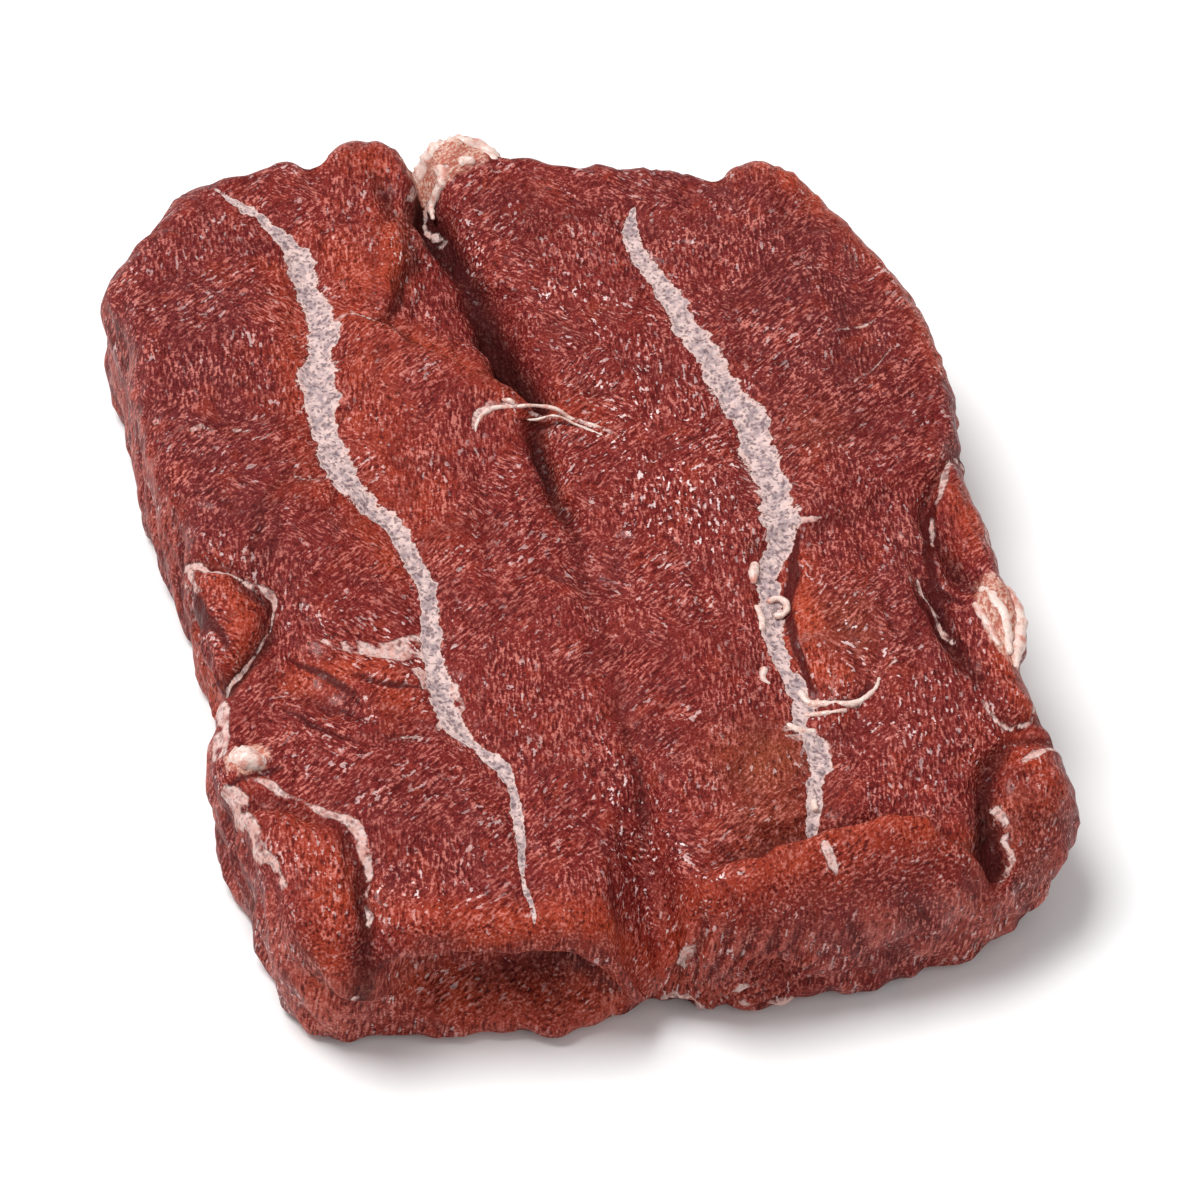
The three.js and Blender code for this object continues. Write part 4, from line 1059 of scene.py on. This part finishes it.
# %% [markdown]
# ## Shader maths as sums
# Nodes are hard to read back as wires. Here a small class wraps a socket, so that `1 - mask` or
# `a * 0.3 + b` adds the Math nodes by itself. Every other node comes from one method, `node`, which
# takes its kind, its settings and what goes into its sockets.

# %% Finish helpers
class Value:
    """A socket inside a finish. Sums on it add Math nodes."""

    def __init__(self, finish, socket):
        self.finish = finish
        self.socket = socket

    def math(self, operation, first, second):
        return self.finish.node("ShaderNodeMath", {"operation": operation}, {0: first, 1: second})

    def __add__(self, other):
        return self.math("ADD", self, other)

    def __radd__(self, other):
        return self.math("ADD", other, self)

    def __sub__(self, other):
        return self.math("SUBTRACT", self, other)

    def __rsub__(self, other):
        return self.math("SUBTRACT", other, self)

    def __mul__(self, other):
        return self.math("MULTIPLY", self, other)

    def __rmul__(self, other):
        return self.math("MULTIPLY", other, self)

    def larger(self, other):
        return self.math("MAXIMUM", self, other)

    def step(self, low, high):
        """A soft step from 0 at low to 1 at high."""
        settings = {"interpolation_type": "SMOOTHSTEP"}
        ends = {"Value": self, "From Min": low, "From Max": high}
        return self.finish.node("ShaderNodeMapRange", settings, ends)


class Finish:
    """A node material. Colours are linear red, green and blue."""

    def __init__(self, name):
        self.material = bpy.data.materials.new(name)
        self.material.use_nodes = True
        self.tree = self.material.node_tree
        self.shader = self.tree.nodes["Principled BSDF"]

    def node(self, kind, settings, inputs, output=0):
        """Adds a node: settings first, then links or values. Gives back one output as a Value."""
        made = self.tree.nodes.new(kind)
        for title, setting in settings.items():
            setattr(made, title, setting)
        for title, given in inputs.items():
            self.feed(made.inputs[title], given)
        return Value(self, made.outputs[output])

    def feed(self, socket, given):
        if isinstance(given, Value):
            self.tree.links.new(given.socket, socket)
        else:
            socket.default_value = given

    def number(self, title):
        return self.node("ShaderNodeAttribute", {"attribute_name": title}, {}, "Fac")

    def place(self):
        """Object coordinates in millimetres."""
        metres = self.node("ShaderNodeTexCoord", {}, {}, "Object")
        return self.node("ShaderNodeVectorMath", {"operation": "SCALE"}, {0: metres, "Scale": 1000.0})

    def noise(self, place, size, detail=2.0, rough=0.5, seed=0.0):
        """Noise of about 0 to 1 whose blobs are `size` millimetres across."""
        inputs = {"Vector": place, "W": seed, "Scale": 1.0 / size, "Detail": detail, "Roughness": rough}
        return self.node("ShaderNodeTexNoise", {"noise_dimensions": "4D"}, inputs)

    def stretched(self, place, turn, length, width):
        """The place turned about z, then divided by the stroke's length and width."""
        angles = (0, 0, -math.radians(turn))
        turned = self.node("ShaderNodeMapping", {}, {"Vector": place, "Rotation": angles})
        scale = (1 / length, 1 / width, 1 / width)
        return self.node("ShaderNodeMapping", {}, {"Vector": turned, "Scale": scale})

    def drawn_up(self, place, length, width):
        """The place divided so that strokes stand upright."""
        scale = (1 / width, 1 / width, 1 / length)
        return self.node("ShaderNodeMapping", {}, {"Vector": place, "Scale": scale})

    def blend(self, share, first, second):
        """Colours mixed by a share from 0 to 1."""
        first, second = ((*c, 1.0) if isinstance(c, tuple) else c for c in (first, second))
        mixer = self.tree.nodes.new("ShaderNodeMix")
        mixer.data_type = "RGBA"
        for socket, given in zip((mixer.inputs[0], mixer.inputs[6], mixer.inputs[7]), (share, first, second)):
            self.feed(socket, given)
        return Value(self, mixer.outputs[2])

    def finish(self, steady, varying):
        """Fixed numbers are set on the shader's own sockets, and what varies is linked."""
        for title, given in {**steady, **varying}.items():
            self.feed(self.shader.inputs[title], given)
        return self.material


print("finish helpers ready")

# %% [markdown]
# ## Raw beef
# Raw beef is red with a satin, wet look. Up close it is a mass of short strokes, lighter pink and
# darker red, about half a millimetre wide, with tiny bright glints where the wet fibres catch the
# light. These glints are painted into the colour as pale spots, and the lighter strokes carry some
# painted sheen. Light also goes a little way into it. Three sets of stretched noise in different
# directions make the strokes, the regions from the plan tint them and paint shade into the hollows,
# and the gristle is laid over at the end.

# %% Raw beef material
MEAT_RED = (0.170, 0.0155, 0.013)
MEAT_PURPLE = (0.118, 0.014, 0.015)
MEAT_ORANGE = (0.36, 0.042, 0.014)
MEAT_BROWN = (0.26, 0.060, 0.020)
# pale strokes: partly the fibres' own lighter tone, partly painted sheen of wet fibres
PALE_STROKE_AND_SHEEN = (0.56, 0.18, 0.145)
STREAK_PALE = (0.42, 0.085, 0.060)
# dark fibre strokes, also used for the painted shade of folds and cuts
DARK_STROKE_AND_FOLD_SHADE = (0.060, 0.004, 0.004)
# colour of the painted highlights: glints painted into the meat's colour
PAINTED_GLINT = (0.95, 0.74, 0.72)
GRISTLE_PALE = (0.66, 0.49, 0.46)
GRISTLE_GREY = (0.32, 0.24, 0.25)
GRISTLE_SPECK = (0.10, 0.06, 0.07)
GRISTLE_EDGE = (0.70, 0.47, 0.42)
PALE_THREAD_AND_GLINT = (0.70, 0.52, 0.48)
LUMP_PALE = (0.72, 0.55, 0.49)
LUMP_PINK = (0.52, 0.20, 0.15)
FAT_PALE = (0.74, 0.52, 0.42)
FAT_PINK = (0.50, 0.15, 0.10)
# colour of the painted shade in grooves, crevices, the trough and the hole
PAINTED_SHADE_RED = (0.020, 0.0015, 0.0015)


def raw_beef():
    beef = Finish("raw_beef")
    place = beef.place()
    slow = beef.noise(place, 9.0, 2.0, 0.5, 1.0)
    patchy = beef.noise(place, 2.8, 2.0, 0.55, 2.0)
    choice = beef.noise(place, 13.0, 1.0, 0.5, 3.0).step(0.44, 0.56)
    second_choice = beef.noise(place, 10.0, 1.0, 0.5, 4.0).step(0.5, 0.6)
    upright = beef.number("upright")

    def strokes_at(length, width, seed, detail):
        """One pattern of strokes: three directions on the face, blended by the slow choices, and
        upright ones on the side."""
        three = [
            beef.noise(beef.stretched(place, turn, length, width), 1.0, detail, 0.5, seed + turn)
            for turn in STROKE_TURNS
        ]
        second = (three[1] - three[0]) * choice
        level = three[0] + second + (three[2] - three[0]) * second_choice * (1 - choice)
        standing = beef.noise(beef.drawn_up(place, 1.6 * length, width), 1.0, detail, 0.5, seed)
        return level + (standing - level) * upright

    dots = beef.noise(place, 0.30, 1.5, 0.6, 7.0)
    fibres = strokes_at(1.2, 0.32, 11.0, 1.0) * 0.58 + dots * 0.42
    glints = strokes_at(1.2, 0.45, 27.0, 0.5) * 0.7 + dots * 0.3
    cluster = beef.noise(place, 4.0, 2.0, 0.5, 8.0).step(0.40, 0.66)
    lively = beef.noise(place, 4.5, 2.0, 0.5, 12.0).step(0.36, 0.62)
    warm = beef.noise(place, 3.4, 2.0, 0.6, 13.0).step(0.50, 0.70)
    cool = beef.noise(place, 4.2, 2.0, 0.6, 14.0).step(0.52, 0.72)
    pale = fibres.step(0.50, 0.61)
    dark = 1 - fibres.step(0.37, 0.49)

    colour = beef.blend(beef.number("purple") * 0.9 + slow * 0.4 - 0.2, MEAT_RED, MEAT_PURPLE)
    colour = beef.blend(cool * 0.5, colour, MEAT_PURPLE)
    # warm patches are the meat's own tint; the orange bands are partly own tint, partly painted light on
    # raised edges
    colour = beef.blend(warm * 0.30 + beef.number("orange") * (patchy * 1.1 + 0.25), colour, MEAT_ORANGE)
    colour = beef.blend(beef.number("brown") * (patchy + 0.1), colour, MEAT_BROWN)
    streaks = beef.number("streaks")
    colour = beef.blend(streaks.step(0.05, 0.6) * 0.5, colour, STREAK_PALE)
    colour = beef.blend((0 - streaks).step(0.05, 0.6) * 0.5, colour, DARK_STROKE_AND_FOLD_SHADE)
    colour = beef.blend(dark * 0.88, colour, DARK_STROKE_AND_FOLD_SHADE)
    # pale strokes, partly fibre tone and partly painted sheen
    colour = beef.blend(pale * (patchy * 0.5 + lively * 0.40 + 0.18), colour, PALE_STROKE_AND_SHEEN)
    # painted highlight: glint spots mixed into the colour; the same mask also lowers the roughness and adds
    # coat
    glint_paint_and_gloss = glints.step(0.585, 0.635) * (cluster * 0.55 + beef.number("glint_patches"))
    colour = beef.blend(glint_paint_and_gloss * 0.7, colour, PAINTED_GLINT)
    # painted shade: grooves, crevices under overlaps, the trough and the hole under the lip darken towards
    # deep red
    painted_hollow_shade = beef.number("groove").larger(beef.number("crevice_shade") * 0.62).larger(beef.number("trough") * 0.8)
    colour = beef.blend(painted_hollow_shade.step(0.1, 0.95) * 0.92, colour, PAINTED_SHADE_RED)
    # painted shade in the cuts and narrow folds
    painted_fold_shade = (beef.number("cuts") * 0.3).larger(beef.number("lines").step(0.1, 0.6) * 0.9)
    colour = beef.blend(painted_fold_shade, colour, DARK_STROKE_AND_FOLD_SHADE)

    ragged = beef.noise(place, 1.5, 3.0, 0.65, 5.0) - 0.5
    combed = beef.noise(beef.stretched(place, 15, 1.8, 0.5), 1.0, 1.0, 0.5, 31.0) - 0.5
    swell = beef.noise(place, 3.2, 1.0, 0.5, 10.0) - 0.5
    specks = beef.noise(place, 0.42, 1.0, 0.5, 6.0)
    left, right = beef.number("left_seam"), beef.number("right_seam")
    seam = (1 - left).larger(1 - right) + ragged * 1.7 + combed * 0.4 + swell * 1.3 + 0.04
    thread = beef.number("threads") + ragged * 1.0
    in_seam = seam.step(-0.04, 0.07)
    in_thread = thread.step(-0.08, 0.10) * beef.noise(place, 2.2, 2.0, 0.6, 9.0).step(0.36, 0.50)
    in_fat = (beef.number("fat") + ragged * 0.9).step(0.30, 0.55)
    fat = beef.blend(fibres.step(0.42, 0.62), FAT_PINK, FAT_PALE)
    cloudy = beef.noise(place, 0.9, 2.0, 0.6, 15.0).step(0.34, 0.64)
    gristle = beef.blend(cloudy, GRISTLE_GREY, GRISTLE_PALE)
    gristle = beef.blend((1 - specks.step(0.36, 0.50)) * 0.7, gristle, GRISTLE_SPECK)
    gristle = beef.blend((1 - seam.step(0.0, 0.30)) * 0.8, gristle, GRISTLE_EDGE)
    colour = beef.blend(in_fat * (patchy * 0.6 + 0.45), colour, fat)
    # pale threads, and the painted glint marks listed among them
    pale_thread = beef.blend((1 - cloudy) * 0.5, PALE_THREAD_AND_GLINT, FAT_PINK)
    pale_thread = beef.blend((1 - specks.step(0.36, 0.50)) * 0.5, pale_thread, GRISTLE_SPECK)
    colour = beef.blend(in_thread * 0.85, colour, pale_thread)
    colour = beef.blend(in_seam * 0.96, colour, gristle)

    white = in_seam.larger(in_thread)
    relief = fibres * (1 - white) * 0.42 + specks * white * 0.16 + patchy * 0.12 + glints * (1 - white) * 0.14
    bump = beef.node("ShaderNodeBump", {}, {"Strength": 1.0, "Distance": 0.001, "Height": relief}, "Normal")
    steady = {
        "Subsurface Weight": 0.10, "Subsurface Radius": (1.0, 0.25, 0.18), "Subsurface Scale": 0.0007,
        "Specular IOR Level": 0.13, "Coat Roughness": 0.14, "IOR": 1.38,
    }
    varying = {
        "Base Color": colour, "Normal": bump, "Roughness": 0.42 - glint_paint_and_gloss * 0.16 + white * 0.12 + painted_hollow_shade * 0.4,
        "Coat Weight": (glint_paint_and_gloss * 0.5 + patchy.step(0.5, 0.7) * 0.2) * (1 - painted_hollow_shade) * (1 - white),
    }
    return beef.finish(steady, varying)


def gristle_finish():
    """Cream and pink by patches, with grey specks."""
    white = Finish("gristle")
    place = white.place()
    patchy = white.noise(place, 1.6, 2.0, 0.6, 21.0)
    specks = white.noise(place, 0.5, 2.0, 0.6, 22.0)
    colour = white.blend(patchy.step(0.46, 0.72), LUMP_PALE, LUMP_PINK)
    colour = white.blend((1 - specks.step(0.34, 0.48)) * 0.5, colour, LUMP_PINK)
    uneven = {"Strength": 1.0, "Distance": 0.001, "Height": specks * 0.2}
    bump = white.node("ShaderNodeBump", {}, uneven, "Normal")
    steady = {
        "Subsurface Weight": 0.2, "Subsurface Radius": (1.0, 0.5, 0.4), "Subsurface Scale": 0.0012,
        "Roughness": 0.4, "IOR": 1.4, "Coat Weight": 0.3, "Coat Roughness": 0.12,
    }
    return white.finish(steady, {"Base Color": colour, "Normal": bump})


RAW_BEEF = raw_beef()
GRISTLE = gristle_finish()
for piece in white_pieces:
    piece.data.materials.append(GRISTLE)
    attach(piece, "root")
meat.data.materials.append(RAW_BEEF)
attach(meat, "root")
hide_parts("steak")
print("raw beef:", len(RAW_BEEF.node_tree.nodes), "nodes")

# %% [markdown]
# ## Floor, light and camera
# A pale floor, one large soft light high up on the left, a weak one in front, and a white
# surrounding give the even light of a shop picture. The camera looks down at 48 degrees, from the
# left of the steak's long axis, through a long lens.

# %% Stage
floor_size = 2.0
floor = mesh_object("floor", np.array([
    (-floor_size, -floor_size, 0), (floor_size, -floor_size, 0), (floor_size, floor_size, 0),
    (-floor_size, floor_size, 0),
]), [np.array([[0, 1, 2, 3]])])
paper = Finish("pale_floor")
floor.data.materials.append(paper.finish({"Base Color": (0.86, 0.86, 0.86, 1.0), "Roughness": 0.9}, {}))


def soft_light(name, place, size, power, mirrored):
    """A square area light aimed at the steak, place and size in metres. The weak one lights the meat
    without showing in its wet coat."""
    lamp = bpy.data.lights.new(name, "AREA")
    lamp.size = size
    lamp.energy = power
    made = bpy.data.objects.new(name, lamp)
    made.location = place
    made.rotation_euler = (-Vector(place)).to_track_quat("-Z", "Y").to_euler()
    made.visible_glossy = mirrored
    bpy.context.scene.collection.objects.link(made)


soft_light("window", (-0.42, 0.12, 1.0), 0.5, 12.5, True)
soft_light("bounce", (0.6, -0.7, 0.7), 0.9, 1.2, False)
world = bpy.data.worlds.new("white_room")
bpy.context.scene.world = world
world.use_nodes = True
world.node_tree.nodes["Background"].inputs["Color"].default_value = (1.0, 1.0, 1.0, 1.0)
world.node_tree.nodes["Background"].inputs["Strength"].default_value = 0.52
bpy.context.scene.view_settings.view_transform = "Standard"

PLAN_MIDDLE = (RAW_LOW + RAW_HIGH) / 2
CAMERA_PLACE = np.array([-152.5, -418.2, 497.7])
CAMERA_AIM = np.array([3.0, -6.2, 10.0])
CAMERA_ROLL = 9.35         # degrees, turning the picture clockwise
SENSOR = 36.0
FOCAL_PIXELS = 2300.0      # focal length of the photograph in its own pixels
FRAME_PIXELS = 480.0       # side of the square of the photograph that the camera frames


def aim_camera():
    """Looks from CAMERA_PLACE to CAMERA_AIM, then rolls about the line of sight."""
    shift = np.array([PLAN_MIDDLE[0], PLAN_MIDDLE[1], 0.0])
    place, aim = (Vector((point - shift) * MM) for point in (CAMERA_PLACE, CAMERA_AIM))
    lens = bpy.data.cameras.new("camera")
    lens.sensor_width = SENSOR
    lens.lens = SENSOR * FOCAL_PIXELS / FRAME_PIXELS
    made = bpy.data.objects.new("camera", lens)
    look = (aim - place).to_track_quat("-Z", "Y").to_matrix().to_4x4()
    made.matrix_world = Matrix.Translation(place) @ look @ Matrix.Rotation(math.radians(CAMERA_ROLL), 4, "Z")
    bpy.context.scene.collection.objects.link(made)
    bpy.context.scene.camera = made
    return made


camera = aim_camera()
print("camera, mm:", np.round(np.array(camera.location) / MM, 1), " lens:", round(camera.data.lens, 1))
